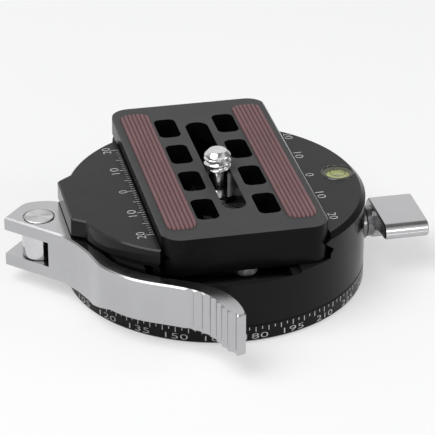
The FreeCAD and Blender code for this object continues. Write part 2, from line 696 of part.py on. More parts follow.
def make_return_spring(label, side):
    """Compression spring round a guide pin; it pushes the jaw open. A coil of flat facets."""
    wire = value("spring_wire")
    length = value("spring_depth + free_gap")
    mean = (value("guide_radius") + value("spring_bore")) / 2
    turns = int(value("spring_turns"))
    stations = turns * 14
    pitch = (length - 2 * wire - 0.1) / turns
    start = V(value("wall_inner") + wire + 0.05, value("pivot_y") + side * value("guide_offset"),
              value("drive_z"))
    rings = []
    for number in range(stations + 1):
        angle = 2 * math.pi * turns * number / stations
        out = V(0, math.cos(angle), math.sin(angle))
        middle = start + out * mean + ALONG_X * (pitch * turns * number / stations)
        rings.append([middle + out * (wire * math.cos(corner)) + ALONG_X * (wire * math.sin(corner))
                      for corner in (math.radians(60 * step) for step in range(6))])
    plain_feature(label, skin(rings))


def skin(rings):
    """A solid of flat triangles through equal rings of points, closed at both ends."""
    count = len(rings[0])
    triangles = []
    for near, far in zip(rings, rings[1:]):
        for index in range(count):
            after = (index + 1) % count
            triangles.append((near[index], near[after], far[after]))
            triangles.append((near[index], far[after], far[index]))
    faces = [Part.Face(Part.makePolygon(list(corners) + [corners[0]])) for corners in triangles]
    for ring in (rings[0], rings[-1]):
        faces.append(Part.Face(Part.makePolygon(ring + [ring[0]])))
    solid = Part.Solid(Part.Shell(faces))
    if solid.Volume < 0:
        solid.reverse()
    return solid


def smooth(points, start_way=None, end_way=None):
    """A curve through the points; the ways are its directions at both ends."""
    curve = Part.BSplineCurve()
    places = [V(x, y, 0) for x, y in points]
    if start_way is None:
        curve.interpolate(Points=places)
    else:
        curve.interpolate(Points=places, InitialTangent=V(*start_way, 0), FinalTangent=V(*end_way, 0))
    return curve.toShape()


def line(start, end):
    return Part.LineSegment(V(start[0], start[1], 0), V(end[0], end[1], 0)).toShape()


def cam_points():
    """Cam outline whose reach falls in step with the lever's angle, over a quarter turn."""
    closed, back = value("cam_closed"), value("cam_back")
    fall = (closed - back) / (math.pi / 2)
    points = []
    for number in range(7):
        angle = math.pi / 2 * number / 6
        reach = closed - fall * angle
        across = reach * math.cos(angle) + fall * math.sin(angle)
        up = reach * math.sin(angle) - fall * math.cos(angle)
        points.append((value("pivot_x") + across, value("pivot_y") + up))
    return points


# The lever's arm seen from above, as (degrees round the pan axis, share of the disc's radius).
ARM_INNER = ((193.7, 0.944), (203.2, 0.949), (216.1, 0.997), (228.0, 1.014), (240.8, 1.019),
             (251.9, 1.038), (259.8, 1.125), (264.2, 1.281), (265.3, 1.417))
ARM_TIP = (264.4, 1.449)
ARM_OUTER = ((262.8, 1.450), (261.1, 1.401), (257.0, 1.243), (250.3, 1.146), (239.5, 1.118),
             (228.3, 1.124), (221.5, 1.113), (215.5, 1.098), (210.5, 1.069), (206.3, 1.048),
             (201.5, 1.041), (196.1, 1.050), (192.0, 1.069), (188.8, 1.100))


def lever_outline():
    """Edges of the lever's plan: cam and ears round the pivot, arm round the disc, tip turned out."""
    x, y, radius, back = value("pivot_x"), value("pivot_y"), value("body_radius"), value("cam_back")

    def place(angle, share):
        turned = math.radians(angle)
        return (radius * share * math.cos(turned), radius * share * math.sin(turned))

    cam = cam_points()
    inner = [place(*polar) for polar in ARM_INNER]
    outer = [place(*polar) for polar in ARM_OUTER]
    left = (x - back, y + 0.173 * back)
    slope_end = (x - 0.486 * back, y + 0.775 * back)
    shoulder = (x - 0.203 * back, y + 0.975 * back)
    ear_way = (left[0] - outer[-1][0], left[1] - outer[-1][1])
    slope_way = (slope_end[0] - left[0], slope_end[1] - left[1])
    return [
        line(cam[0], inner[0]),
        smooth(inner, (0.08, -1.0), (0.0, -1.0)),
        smooth((inner[-1], place(*ARM_TIP), outer[0]), (0.0, -1.0), (-0.4, 0.9)),
        smooth(outer, (-0.4, 0.9), ear_way),
        line(outer[-1], left),
        line(left, slope_end),
        smooth((slope_end, shoulder, cam[-1]), slope_way, (1.0, 0.0)),
        smooth(list(reversed(cam))),
    ]


def finger_flutes(outer_edge):
    """Upright cutters along the outer edge of the arm, from the tip backwards."""
    cutters = []
    radius, depth = value("flute_radius"), value("flute_depth")
    for number in range(int(value("flute_count"))):
        along = value("flute_pitch") * (number + 0.5)
        parameter = outer_edge.getParameterByLength(along)
        way = outer_edge.tangentAt(parameter).normalize()
        outward = V(-way.y, way.x, 0)
        middle = outer_edge.valueAt(parameter) + outward * (radius - depth)
        cutters.append(Part.makeCylinder(radius, value("lever_top") + 1, middle))
    return cutters


def on_lever_rim(edge):
    """The lever's top edges, without the pin's bore and the cam."""
    box = edge.BoundBox
    back = value("cam_back")
    away_from_cam = box.XMin < value("pivot_x") - back / 3 or box.YMax < value("pivot_y") - back
    return box.ZMin > value("lever_top") - 0.01 and away_from_cam


def make_clamp_lever():
    """The clamp lever: a fork with two cam ears, a curved arm and a fluted, turned-out tip."""
    x, y = value("pivot_x"), value("pivot_y")
    top, low, under = value("lever_top"), value("ear_bottom"), value("lever_bottom")
    radius, reach = value("body_radius"), value("body_radius + cam_closed")
    edges = lever_outline()
    plan = Part.Face(Part.Wire(Part.__sortEdges__(edges)))
    plan.translate(V(0, 0, low))
    solid = plan.extrude(V(0, 0, top - low))
    gap = Part.makeBox(2 * reach, reach, value("gap_top") - value("gap_bottom"),
                       V(x - reach, value("gap_wall"), value("gap_bottom")))
    step_start, step_end = y - 0.62 * radius, y - 0.82 * radius
    arm_under = Part.Face(Part.makePolygon([
        V(x - radius, step_start, low - 1), V(x - radius, step_start, low),
        V(x - radius, step_end, under), V(x - radius, y - 2 * radius, under),
        V(x - radius, y - 2 * radius, low - 1), V(x - radius, step_start, low - 1)]))
    arm_under = arm_under.extrude(V(4 * radius, 0, 0))
    bore = Part.makeCylinder(value("pin_radius"), top, V(x, y, 0))
    solid = solid.cut(gap).cut(arm_under).cut(bore).removeSplitter()
    solid = solid.makeChamfer(value("arm_chamfer"), [edge for edge in solid.Edges if on_lever_rim(edge)])
    seat = Part.makeCylinder(value("pin_head_radius + free_gap"), value("pin_head_height"),
                             V(x, y, top - value("pin_head_sunk")))
    plain_feature("clamp_lever", solid.cut(finger_flutes(edges[3])).cut(seat))


def make_lever_pin():
    """Headed pin through both ears and the draw bolt's eye."""
    body = new_body("lever_pin")
    stud(body, "XY", "ear_bottom + 0.1", "lever_top - pin_head_sunk - ear_bottom - 0.1", "pivot_x",
         "pivot_y", "pin_radius")
    seat = "lever_top - pin_head_sunk"
    stud(body, "XY", seat, "pin_head_height", "pivot_x", "pivot_y", "pin_head_radius")
    soften(body, "Chamfer", at_height(seat + " + pin_head_height"), "0.15")


# ---------------------------------------------------------------- pan lock

def make_brake_shoe():
    """Round brass shoe that the lock shaft presses on the spindle."""
    start = value("spindle_radius + shoe_gap")
    y, z, radius = value("lock_y"), value("lock_z"), value("shoe_radius")
    plug = Part.makeCylinder(radius, value("shoe_end") - start + 1, V(start - 1, y, z), ALONG_X)
    hollow = Part.makeCylinder(start, 4 * radius, V(0, 0, z - 2 * radius))
    plain_feature("brake_shoe", plug.cut(hollow))


def make_lock_bush():
    """Threaded bush in the turning body's side, with a thin flange."""
    y, z = value("lock_y"), value("lock_z")
    barrel = Part.makeCylinder(value("insert_radius"), value("insert_length"),
                               V(value("insert_start"), y, z), ALONG_X)
    flange = Part.makeCylinder(value("insert_flange"), value("flange_proud"),
                               V(value("body_radius"), y, z), ALONG_X)
    bore = Part.makeCylinder(value("lock_radius + shaft_gap"), 20, V(value("insert_start") - 5, y, z), ALONG_X)
    plain_feature("lock_bush", barrel.fuse(flange).cut(bore).removeSplitter())


def make_lock_shaft():
    """Lock shaft: a screw with one collar outside, its inner end against the shoe."""
    y, z = value("lock_y"), value("lock_z")
    start = value("shoe_end")
    nose = Part.makeCylinder(value("shoe_radius") - 0.1, 1.2, V(start, y, z), ALONG_X)
    shank = Part.makeCylinder(value("lock_radius"), value("paddle_start + paddle_bore") - start - 1.2,
                              V(start + 1.2, y, z), ALONG_X)
    collar = Part.makeCylinder(value("collar_radius"), value("collar_height"),
                               V(value("collar_start"), y, z), ALONG_X)
    plain_feature("lock_shaft", nose.fuse(shank).fuse(collar).removeSplitter())


def arc(start, middle, end):
    return Part.Arc(V(0, *start), V(0, *middle), V(0, *end)).toShape()


def side_line(start, end):
    return Part.LineSegment(V(0, *start), V(0, *end)).toShape()


def make_lock_paddle():
    """One-sided thumb paddle: a flat wing on top, a concave underside and a rounded hub."""
    y, z, hub = value("lock_y"), value("lock_z"), value("paddle_hub")
    top, reach = value("paddle_top"), value("paddle_reach")

    def on_wing(across, down):
        return (reach + across * hub, top - down * hub)

    def on_hub(across, up):
        return (y + across * hub, z + up * hub)

    wing_low, hub_left, hub_right = on_wing(0.26, 0.78), on_hub(-0.44, -0.51), on_hub(0.96, -0.11)
    shoulder = (y + 0.64 * hub, top)
    edges = [
        side_line(shoulder, on_wing(0.43, 0)),
        arc(on_wing(0.43, 0), on_wing(0.11, 0.13), on_wing(0, 0.43)),
        arc(on_wing(0, 0.43), on_wing(0.06, 0.72), wing_low),
        arc(wing_low, on_hub(-1.11, -0.06), hub_left),
        arc(hub_left, on_hub(0.3, -1.0), hub_right),
        arc(hub_right, on_hub(0.94, 0.67), shoulder),
    ]
    face = Part.Face(Part.Wire(Part.__sortEdges__(edges)))
    face.translate(V(value("paddle_start"), 0, 0))
    solid = face.extrude(V(value("paddle_width"), 0, 0))
    solid = solid.makeFillet(0.1 * hub, [edge for edge in solid.Edges if edge.BoundBox.XLength > 1])
    solid = solid.makeChamfer(0.07 * hub, [edge for edge in solid.Edges if edge.BoundBox.XLength < 0.01])
    bore = Part.makeCylinder(value("lock_radius"), value("paddle_bore"), V(value("paddle_start"), y, z), ALONG_X)
    pin_bore = Part.makeCylinder(value("paddle_pin_radius"), 2 * hub,
                                 V(value("paddle_start + paddle_bore / 2"), y, z - 2 * hub))
    plain_feature("lock_paddle", solid.cut(bore).cut(pin_bore))


def make_paddle_pin():
    """Set screw from below that holds the paddle on its shaft."""
    y, z = value("lock_y"), value("lock_z")
    length = 0.24 * value("paddle_hub")
    foot = V(value("paddle_start + paddle_bore / 2"), y, z - value("lock_radius") - length)
    pin = Part.makeCylinder(value("paddle_pin_radius"), length, foot)
    plain_feature("paddle_set_screw", pin)


# ---------------------------------------------------------------- bubble level

def make_level():
    """Bubble level: cup, liquid, bubble and a clear window, pressed in the fixed jaw."""
    x, y, top = value("level_x"), value("level_y"), value("jaw_top")
    bottom = top - value("level_depth")
    centre = V(x, y, bottom)
    window = value("vial_height")
    inner = value("vial_radius")
    depth = value("level_depth") - 0.6
    cup = Part.makeCylinder(value("level_radius"), value("level_depth"), centre)
    cup = cup.cut(Part.makeCylinder(inner, value("level_depth"), centre + UP * 0.6))
    liquid = Part.makeCylinder(inner, depth - window, centre + UP * 0.6)
    bubble = Part.makeCylinder(value("bubble_radius"), 0.35, V(x, y, top - window - 0.35))
    glass = Part.makeCylinder(inner, window, V(x, y, top - window))
    plain_feature("level_cup", cup)
    plain_feature("level_liquid", liquid.cut(bubble))
    plain_feature("level_bubble", bubble)
    plain_feature("level_window", glass)


# ---------------------------------------------------------------- quick plate

def make_quick_plate():
    """Dovetail plate with a screw slot, two rows of windows and seats for the rubber strips."""
    body = new_body("quick_plate")
    top = "plate_bottom + plate_height"
    notch = top + " - upper_flange"
    flange = notch + " - notch_open"
    back = "plate_front + plate_length"
    section = (
        (LEFT_EDGE, top + " - plate_chamfer"),
        (LEFT_EDGE + "+ plate_chamfer", top),
        (RIGHT_EDGE + "- plate_chamfer", top),
        (RIGHT_EDGE, top + " - plate_chamfer"),
        (RIGHT_EDGE, notch),
        (RIGHT_EDGE + "- notch_deep", flange + " + notch_deep"),
        (RIGHT_EDGE, flange),
        (RIGHT_EDGE, "plate_bottom + 0.6"),
        (RIGHT_EDGE + "- 0.6", "plate_bottom"),
        (LEFT_EDGE + "+ 0.6", "plate_bottom"),
        (LEFT_EDGE, "plate_bottom + 0.6"),
        (LEFT_EDGE, flange),
        (LEFT_EDGE + "+ notch_deep", flange + " + notch_deep"),
        (LEFT_EDGE, notch),
    )
    pad(body, "XZ", "-plate_front", "plate_length", section, True)
    corners = new_sketch(body, "XY", top)
    draw_polygon(corners, rectangle(LEFT_EDGE + "- 2", RIGHT_EDGE + "+ 2", "plate_front - 2", back + "+ 2"))
    draw_round_rectangle(corners, LEFT_EDGE, RIGHT_EDGE, "plate_front", back, "plate_corner")
    shaped(body, "Pocket", corners, "plate_height + 1")
    slot = new_sketch(body, "XY", top)
    draw_round_rectangle(slot, "clamp_mid - slot_width / 2", "clamp_mid + slot_width / 2",
                         "slot_front", "slot_back", "slot_width / 2 - 0.01")
    shaped(body, "Pocket", slot, "plate_height + 1")
    track = new_sketch(body, "XY", "plate_bottom")
    draw_round_rectangle(track, "clamp_mid - head_track_width / 2", "clamp_mid + head_track_width / 2",
                         "slot_front - 3.5", "slot_back + 3.5", "head_track_width / 2 - 0.01")
    shaped(body, "Pocket", track, "head_track_height", True)
    windows = []
    for side in ("-", "+"):
        middle = "clamp_mid " + side + " window_offset"
        window = new_sketch(body, "XY", top)
        draw_round_rectangle(window, middle + " - window_width / 2", middle + " + window_width / 2",
                             "window_first - window_length / 2", "window_first + window_length / 2",
                             "window_corner")
        windows.append(shaped(body, "Pocket", window, "plate_height + 1"))
    repeat_along(body, windows, "Y", "(window_count - 1) * window_pitch", "window_count")
    for left in ("clamp_mid - strip_offset - strip_width", "clamp_mid + strip_offset"):
        seat = new_sketch(body, "XY", top)
        draw_round_rectangle(seat, left, left + " + strip_width", "strip_front",
                             "strip_front + strip_length", "strip_corner")
        shaped(body, "Pocket", seat, "strip_seat")
    drill(body, "XY", "plate_bottom", "stop_head_top + 0.15 - plate_bottom", "clamp_mid", "stop_y",
          "stop_radius + stop_play", True)
    drill(body, "XY", "plate_bottom", "stop_shank_top + 0.2 - plate_bottom", "clamp_mid", "stop_y",
          "stop_shank", True)


def make_grip_strip(label, left):
    """Ribbed rubber strip with rounded corners, seated in the plate."""
    body = new_body(label)
    bottom = "plate_bottom + plate_height - strip_seat"
    sketch = new_sketch(body, "XY", bottom)
    draw_round_rectangle(sketch, left + " + 0.02", left + " + strip_width - 0.02",
                         "strip_front + 0.02", "strip_front + strip_length - 0.02", "strip_corner")
    shaped(body, "Pad", sketch, "strip_seat + strip_proud")
    crest = "plate_bottom + plate_height + strip_proud"
    rib = "strip_width / rib_count"
    cuts = new_sketch(body, "XZ", "-strip_front + 1")
    middle = left + " + " + rib
    draw_polygon(cuts, (
        (middle + " - rib_groove", crest + " + 0.01"),
        (middle, crest + " - rib_groove"),
        (middle + " + rib_groove", crest + " + 0.01"),
    ))
    groove = shaped(body, "Pocket", cuts, "strip_length + 2")
    repeat_along(body, [groove], "X", "(rib_count - 2) * " + rib, "rib_count - 1")


def make_camera_screw():
    """Camera screw: thread above the plate, thin neck in the slot, slotted head in the recess."""
    x, y = value("clamp_mid"), value("screw_y")
    head_top = value("plate_bottom + head_track_height - carrier_height") - 0.1
    head_bottom = head_top - value("head_height")
    thread, neck, lead = value("thread_radius"), value("neck_radius"), value("thread_lead")
    outline = [
        (0, head_bottom), (value("head_radius") - 0.3, head_bottom),
        (value("head_radius"), head_bottom + 0.3), (value("head_radius"), head_top), (neck, head_top),
        (neck, value("thread_bottom") - 0.4), (thread - 0.4, value("thread_bottom") - 0.4),
        (thread, value("thread_bottom")), (thread, value("thread_top") - lead),
        (thread - lead, value("thread_top")), (0, value("thread_top")), (0, head_bottom)]
    face = Part.Face(Part.makePolygon([V(r, 0, z) for r, z in outline]))
    solid = face.revolve(V(0, 0, 0), UP, 360)
    slot = Part.makeBox(40, value("coin_slot"), 0.9, V(-20, -value("coin_slot") / 2, head_bottom))
    solid = solid.cut(slot)
    solid.translate(V(x, y, 0))
    plain_feature("camera_screw", solid)


def make_screw_carrier():
    """Washer that slides along the plate's recess and keeps the camera screw upright."""
    body = new_body("screw_washer")
    bottom = "plate_bottom + head_track_height - carrier_height - 0.05"
    sketch = new_sketch(body, "XY", bottom)
    draw_circle(sketch, "clamp_mid", "screw_y", "head_radius + 0.4")
    draw_circle(sketch, "clamp_mid", "screw_y", "neck_radius + shaft_gap")
    shaped(body, "Pad", sketch, "carrier_height")


def make_stop_screw():
    """Stop screw under the plate's front end; it meets the lip before the plate can slide out."""
    body = new_body("stop_screw")
    stud(body, "XY", "stop_bottom", "stop_head_top - stop_bottom", "clamp_mid", "stop_y", "stop_radius")
    soften(body, "Chamfer", at_height("stop_bottom"), "0.5")
    stud(body, "XY", "stop_head_top", "stop_shank_top - stop_head_top", "clamp_mid", "stop_y", "stop_shank")
    drill(body, "XY", "stop_bottom", "1.6", "clamp_mid", "stop_y", "1.2", True)


# ---------------------------------------------------------------- assembly

def export_parts():
    """Check every object, then write each sub-part to its own file."""
    doc.recompute()
    for item in doc.Objects:
        if "Invalid" in item.State or "Error" in item.State:
            raise RuntimeError("%s is in state %s" % (item.Label, item.State))
    kinds = ("PartDesign::Body", "Part::Feature")
    nodes = [item for item in doc.Objects if item.TypeId in kinds]
    os.makedirs("parts", exist_ok=True)
    for node in nodes:
        shape = node.Shape
        if shape.isNull() or not shape.isValid() or shape.Volume <= 0:
            raise RuntimeError("%s has no valid shape" % node.Label)
    for node in nodes:
        node.Shape.exportStep("parts/%s.step" % node.Label)
        box = node.Shape.BoundBox
        print("%-18s %9.1f mm3  X %7.2f %7.2f  Y %7.2f %7.2f  Z %6.2f %6.2f  solids %d" % (
            node.Label, node.Shape.Volume, box.XMin, box.XMax, box.YMin, box.YMax, box.ZMin, box.ZMax,
            len(node.Shape.Solids)))


def build():
    make_scale_base()
    make_spindle()
    make_spindle_screws()
    make_washer("lower_washer", "spindle_radius + shaft_gap", "base_height")
    make_washer("upper_washer", "spindle_radius + shaft_gap", "web_top + run_gap")
    make_retainer_nut()
    make_pan_body()
    make_movable_jaw()
    make_cam_pad()
    make_draw_bolt()
    make_draw_nut()
    make_guide_pins()
    make_return_spring("front_spring", -1)
    make_return_spring("rear_spring", 1)
    make_clamp_lever()
    make_lever_pin()
    make_brake_shoe()
    make_lock_bush()
    make_lock_shaft()
    make_lock_paddle()
    make_paddle_pin()
    make_level()
    make_quick_plate()
    make_grip_strip("left_grip", "clamp_mid - strip_offset - strip_width")
    make_grip_strip("right_grip", "clamp_mid + strip_offset")
    make_camera_screw()
    make_screw_carrier()
    make_stop_screw()
    export_parts()


build()
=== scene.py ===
import math

import bmesh
import bpy
from mathutils import Matrix, Vector

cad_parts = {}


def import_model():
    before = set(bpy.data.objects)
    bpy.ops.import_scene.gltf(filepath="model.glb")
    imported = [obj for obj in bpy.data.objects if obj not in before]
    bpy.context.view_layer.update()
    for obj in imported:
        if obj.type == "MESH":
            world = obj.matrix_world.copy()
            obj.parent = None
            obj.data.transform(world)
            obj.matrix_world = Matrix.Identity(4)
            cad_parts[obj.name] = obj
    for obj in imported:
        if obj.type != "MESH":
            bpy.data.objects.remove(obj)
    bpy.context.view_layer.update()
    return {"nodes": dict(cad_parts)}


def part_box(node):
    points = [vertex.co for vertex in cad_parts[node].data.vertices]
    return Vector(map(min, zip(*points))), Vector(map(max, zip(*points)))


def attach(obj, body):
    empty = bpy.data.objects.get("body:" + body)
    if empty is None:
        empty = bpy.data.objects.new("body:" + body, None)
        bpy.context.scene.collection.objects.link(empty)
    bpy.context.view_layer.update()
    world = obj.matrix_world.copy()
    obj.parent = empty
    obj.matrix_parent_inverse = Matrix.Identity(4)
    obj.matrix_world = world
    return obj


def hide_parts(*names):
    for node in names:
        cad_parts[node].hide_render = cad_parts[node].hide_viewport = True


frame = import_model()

NODES = frame["nodes"]
MM = 0.001
RIBS = 7                     # on each rubber strip


# ---------------------------------------------------------------- sizes, from the frame

def low(node):
    """A CAD node's lowest corner, in millimetres."""
    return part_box(node)[0] / MM


def high(node):
    """A CAD node's highest corner, in millimetres."""
    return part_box(node)[1] / MM


def middle(node):
    """The middle of a CAD node's box, in millimetres."""
    return (low(node) + high(node)) / 2


BASE_RADIUS = high("scale_base").x
JAW_TOP = high("movable_jaw").z
PLATE_TOP = high("quick_plate").z
LEVEL = middle("level_cup")
CAMERA_SCREW = middle("camera_screw")
STOP_SCREW = middle("stop_screw")


# ---------------------------------------------------------------- mesh helpers (millimetres)

MERGE_DISTANCE = 1e-5
SHARP_ANGLE = 35             # degrees from which an edge is shaded sharp
ROUND_ANGLE = 60             # the same on rounded pieces
THREAD_SECTION = (           # share of the thread's depth, and rise in pitches
    (0.0, -0.42), (0.55, -0.19), (0.90, -0.08), (1.0, -0.03),
    (1.0, 0.03), (0.90, 0.08), (0.55, 0.19), (0.0, 0.42),
)
THREAD_HALF_WIDTH = THREAD_SECTION[-1][1]
LOWER_RUN_OUT = 0.06         # turns over which the thread grows out of the core
UPPER_RUN_OUT = 0.2
THINNEST_SECTION = 0.05


def finish_mesh(name, bm, body, material, smooth_angle=SHARP_ANGLE):
    """Turn a bmesh in millimetres into a piece of the scene that rides on a CAD body."""
    bmesh.ops.remove_doubles(bm, verts=bm.verts, dist=MERGE_DISTANCE)
    bmesh.ops.recalc_face_normals(bm, faces=bm.faces)
    bmesh.ops.scale(bm, vec=(MM, MM, MM), verts=bm.verts)
    mesh = bpy.data.meshes.new(name)
    bm.to_mesh(mesh)
    bm.free()
    mesh.materials.append(material)
    mesh.polygons.foreach_set("use_smooth", [True] * len(mesh.polygons))
    mesh.set_sharp_from_angle(angle=math.radians(smooth_angle))
    piece = bpy.data.objects.new(name, mesh)
    bpy.context.scene.collection.objects.link(piece)
    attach(piece, body)
    return piece


def add_block(bm, corners):
    """A closed block from its four lower and four upper corners."""
    verts = [bm.verts.new(corner) for corner in corners]
    bm.faces.new(verts[0:4])
    bm.faces.new(verts[4:8])
    for index in range(4):
        after = (index + 1) % 4
        bm.faces.new((verts[index], verts[after], verts[4 + after], verts[4 + index]))


def add_lathe(bm, profile, centre, segments=72):
    """Revolve (radius, height) points round a vertical axis; radius 0 closes an end."""
    rings = []
    for radius, height in profile:
        if radius == 0:
            rings.append([bm.verts.new((centre.x, centre.y, height))])
            continue
        ring = []
        for step in range(segments):
            angle = 2 * math.pi * step / segments
            ring.append(bm.verts.new((centre.x + radius * math.cos(angle),
                                      centre.y + radius * math.sin(angle), height)))
        rings.append(ring)
    for near, far in zip(rings, rings[1:]):
        for step in range(segments):
            after = (step + 1) % segments
            if len(near) == 1:
                bm.faces.new((near[0], far[after], far[step]))
            elif len(far) == 1:
                bm.faces.new((near[step], near[after], far[0]))
            else:
                bm.faces.new((near[step], near[after], far[after], far[step]))


def add_thread(bm, centre, root, crest, pitch, bottom, top, steps=56, start_angle=0.0):
    """A helical ridge with a rounded crest that runs out into the core at both ends."""
    half = THREAD_HALF_WIDTH * pitch
    first, last = bottom + half, top - half
    turns = (last - first) / pitch
    count = int(turns * steps)
    rings = []
    for number in range(count + 1):
        angle = start_angle + 2 * math.pi * turns * number / count
        run_out = min(1.0, number / (LOWER_RUN_OUT * steps), (count - number) / (UPPER_RUN_OUT * steps))
        height = first + pitch * turns * number / count
        ring = []
        for share, rise in THREAD_SECTION:
            radius = root + (crest - root) * share * run_out
            ring.append(bm.verts.new((centre.x + radius * math.cos(angle),
                                      centre.y + radius * math.sin(angle),
                                      height + rise * pitch * max(run_out, THINNEST_SECTION))))
        rings.append(ring)
    for near, far in zip(rings, rings[1:]):
        for index in range(len(THREAD_SECTION)):
            after = (index + 1) % len(THREAD_SECTION)
            bm.faces.new((near[index], near[after], far[after], far[index]))
    bm.faces.new(rings[0])
    bm.faces.new(rings[-1])


# ---------------------------------------------------------------- node helpers

FLAT_FROM, FLAT_FULL = 0.80, 0.97        # how far a face must look up or down to count as level
CHAMFER_SLOPE = 0.72                     # how far a cut edge looks up or down
CHAMFER_NEAR, CHAMFER_FAR = 0.10, 0.17   # how far from that slope the mask holds and ends
RIGHT_FROM, RIGHT_FULL = 0.3, 0.6        # how far a face must look towards +X
HEIGHT_BLEND = 0.0001                    # in metres
HOLLOW_DARK, HOLLOW_OPEN = 0.15, 0.75    # share of open space where the mask is full, and none
MIX_FIRST, MIX_SECOND, MIX_COLOR = 6, 7, 2   # the Mix node's colour sockets


class Shader:
    """A Principled material under construction, with coordinates fixed to the object."""

    def __init__(self, name, color, roughness, metallic=0.0):
        self.material = bpy.data.materials.new(name)
        self.material.use_nodes = True
        self.tree = self.material.node_tree
        self.main = self.tree.nodes["Principled BSDF"]
        self.coordinates = self.tree.nodes.new("ShaderNodeTexCoord")
        self.set("Base Color", (*color, 1.0))
        self.set("Roughness", roughness)
        self.set("Metallic", metallic)

    def set(self, socket, amount):
        """Set a value of the Principled shader."""
        self.main.inputs[socket].default_value = amount
        return self

    def node(self, kind, **settings):
        """Add a node and give it its inputs or properties by name."""
        made = self.tree.nodes.new("ShaderNode" + kind)
        for name, amount in settings.items():
            if name in made.inputs:
                made.inputs[name].default_value = amount
            else:
                setattr(made, name, amount)
        return made

    def link(self, output, socket):
        self.tree.links.new(output, socket)

    def stretched(self, scale):
        """Object coordinates scaled per axis."""
        mapping = self.node("Mapping", Scale=scale)
        self.link(self.coordinates.outputs["Object"], mapping.inputs["Vector"])
        return mapping.outputs["Vector"]

    def noise(self, scale, detail=3.0, vector=None):
        """Noise in object coordinates, or in others that are given."""
        made = self.node("TexNoise", Scale=scale, Detail=detail)
        self.link(vector or self.coordinates.outputs["Object"], made.inputs["Vector"])
        return made.outputs["Fac"]

    def spread(self, value, start, end, low_in=0.3, high_in=0.7):
        """Map a value from low_in..high_in to start..end, held at both ends."""
        made = self.node("MapRange")
        for name, amount in (("From Min", low_in), ("From Max", high_in), ("To Min", start), ("To Max", end)):
            made.inputs[name].default_value = amount
        self.link(value, made.inputs["Value"])
        return made.outputs["Result"]

    def mix_color(self, factor, first, second):
        """Blend two colours, each a tuple or an output."""
        made = self.node("Mix", data_type="RGBA")
        for index, color in ((MIX_FIRST, first), (MIX_SECOND, second)):
            if isinstance(color, tuple):
                made.inputs[index].default_value = (*color, 1.0)
            else:
                self.link(color, made.inputs[index])
        self.link(factor, made.inputs[0])
        return made.outputs[MIX_COLOR]

    def maths(self, operation, first, second=0.0):
        made = self.node("Math", operation=operation)
        for index, value in ((0, first), (1, second)):
            if isinstance(value, (int, float)):
                made.inputs[index].default_value = value
            else:
                self.link(value, made.inputs[index])
        return made.outputs[0]

    def bump(self, height, strength, distance, after=None):
        made = self.node("Bump", Strength=strength, Distance=distance)
        self.link(height, made.inputs["Height"])
        if after:
            self.link(after, made.inputs["Normal"])
        return made.outputs["Normal"]

    def steepness(self):
        """How far a face looks up or down: 1 when level, 0 when upright."""
        parts = self.node("SeparateXYZ")
        self.link(self.coordinates.outputs["Normal"], parts.inputs["Vector"])
        return self.maths("ABSOLUTE", parts.outputs["Z"])

    def level_mask(self):
        """1 on faces that look up or down, 0 on upright ones."""
        return self.spread(self.steepness(), 0.0, 1.0, FLAT_FROM, FLAT_FULL)

    def chamfer_mask(self):
        """1 on faces that slope at about 45 degrees, as the cut edges do."""
        away = self.maths("ABSOLUTE", self.maths("SUBTRACT", self.steepness(), CHAMFER_SLOPE))
        return self.spread(away, 1.0, 0.0, CHAMFER_NEAR, CHAMFER_FAR)

    def right_hand(self):
        """1 on faces that look towards +X, falling to 0.1 on the others."""
        parts = self.node("SeparateXYZ")
        self.link(self.coordinates.outputs["Normal"], parts.inputs["Vector"])
        return self.spread(parts.outputs["X"], 0.1, 1.0, RIGHT_FROM, RIGHT_FULL)

    def above(self, height):
        """1 over a height in metres, 0 below it."""
        parts = self.node("SeparateXYZ")
        self.link(self.coordinates.outputs["Object"], parts.inputs["Vector"])
        return self.spread(parts.outputs["Z"], 0.0, 1.0, height - HEIGHT_BLEND, height)

    def hollow_mask(self, reach):
        """0 in the open, rising to 1 deep in holes and corners; it paints shade into colour."""
        open_sky = self.node("AmbientOcclusion", Distance=reach, samples=12)
        return self.spread(open_sky.outputs["AO"], 1.0, 0.0, HOLLOW_DARK, HOLLOW_OPEN)


# ---------------------------------------------------------------- materials

EDGE_WEAR_AND_HIGHLIGHT_FROM = (JAW_TOP - 0.8) * MM    # only the edges above this height are bared to metal: wear, and a painted highlight
# colour of edges bared to metal, which also paints their highlight
CUT_EDGE_AND_HIGHLIGHT = (0.62, 0.62, 0.63)
PAINTED_SHADE_BLACK = (0.001, 0.001, 0.001)
BODY_SHADE_REACH = 0.005                   # reach of the painted shade in bores and corners, in metres
PALE_SATIN, DARK_SATIN = (0.50, 0.50, 0.51), (0.45, 0.45, 0.46)
# painted shade on the chamfers, to tone down their highlight
SATIN_CHAMFER_SHADE = (0.34, 0.34, 0.345)
GROOVE_SHADE_RED = (0.060, 0.026, 0.029)
RUBBER_DUST = (0.30, 0.20, 0.20)


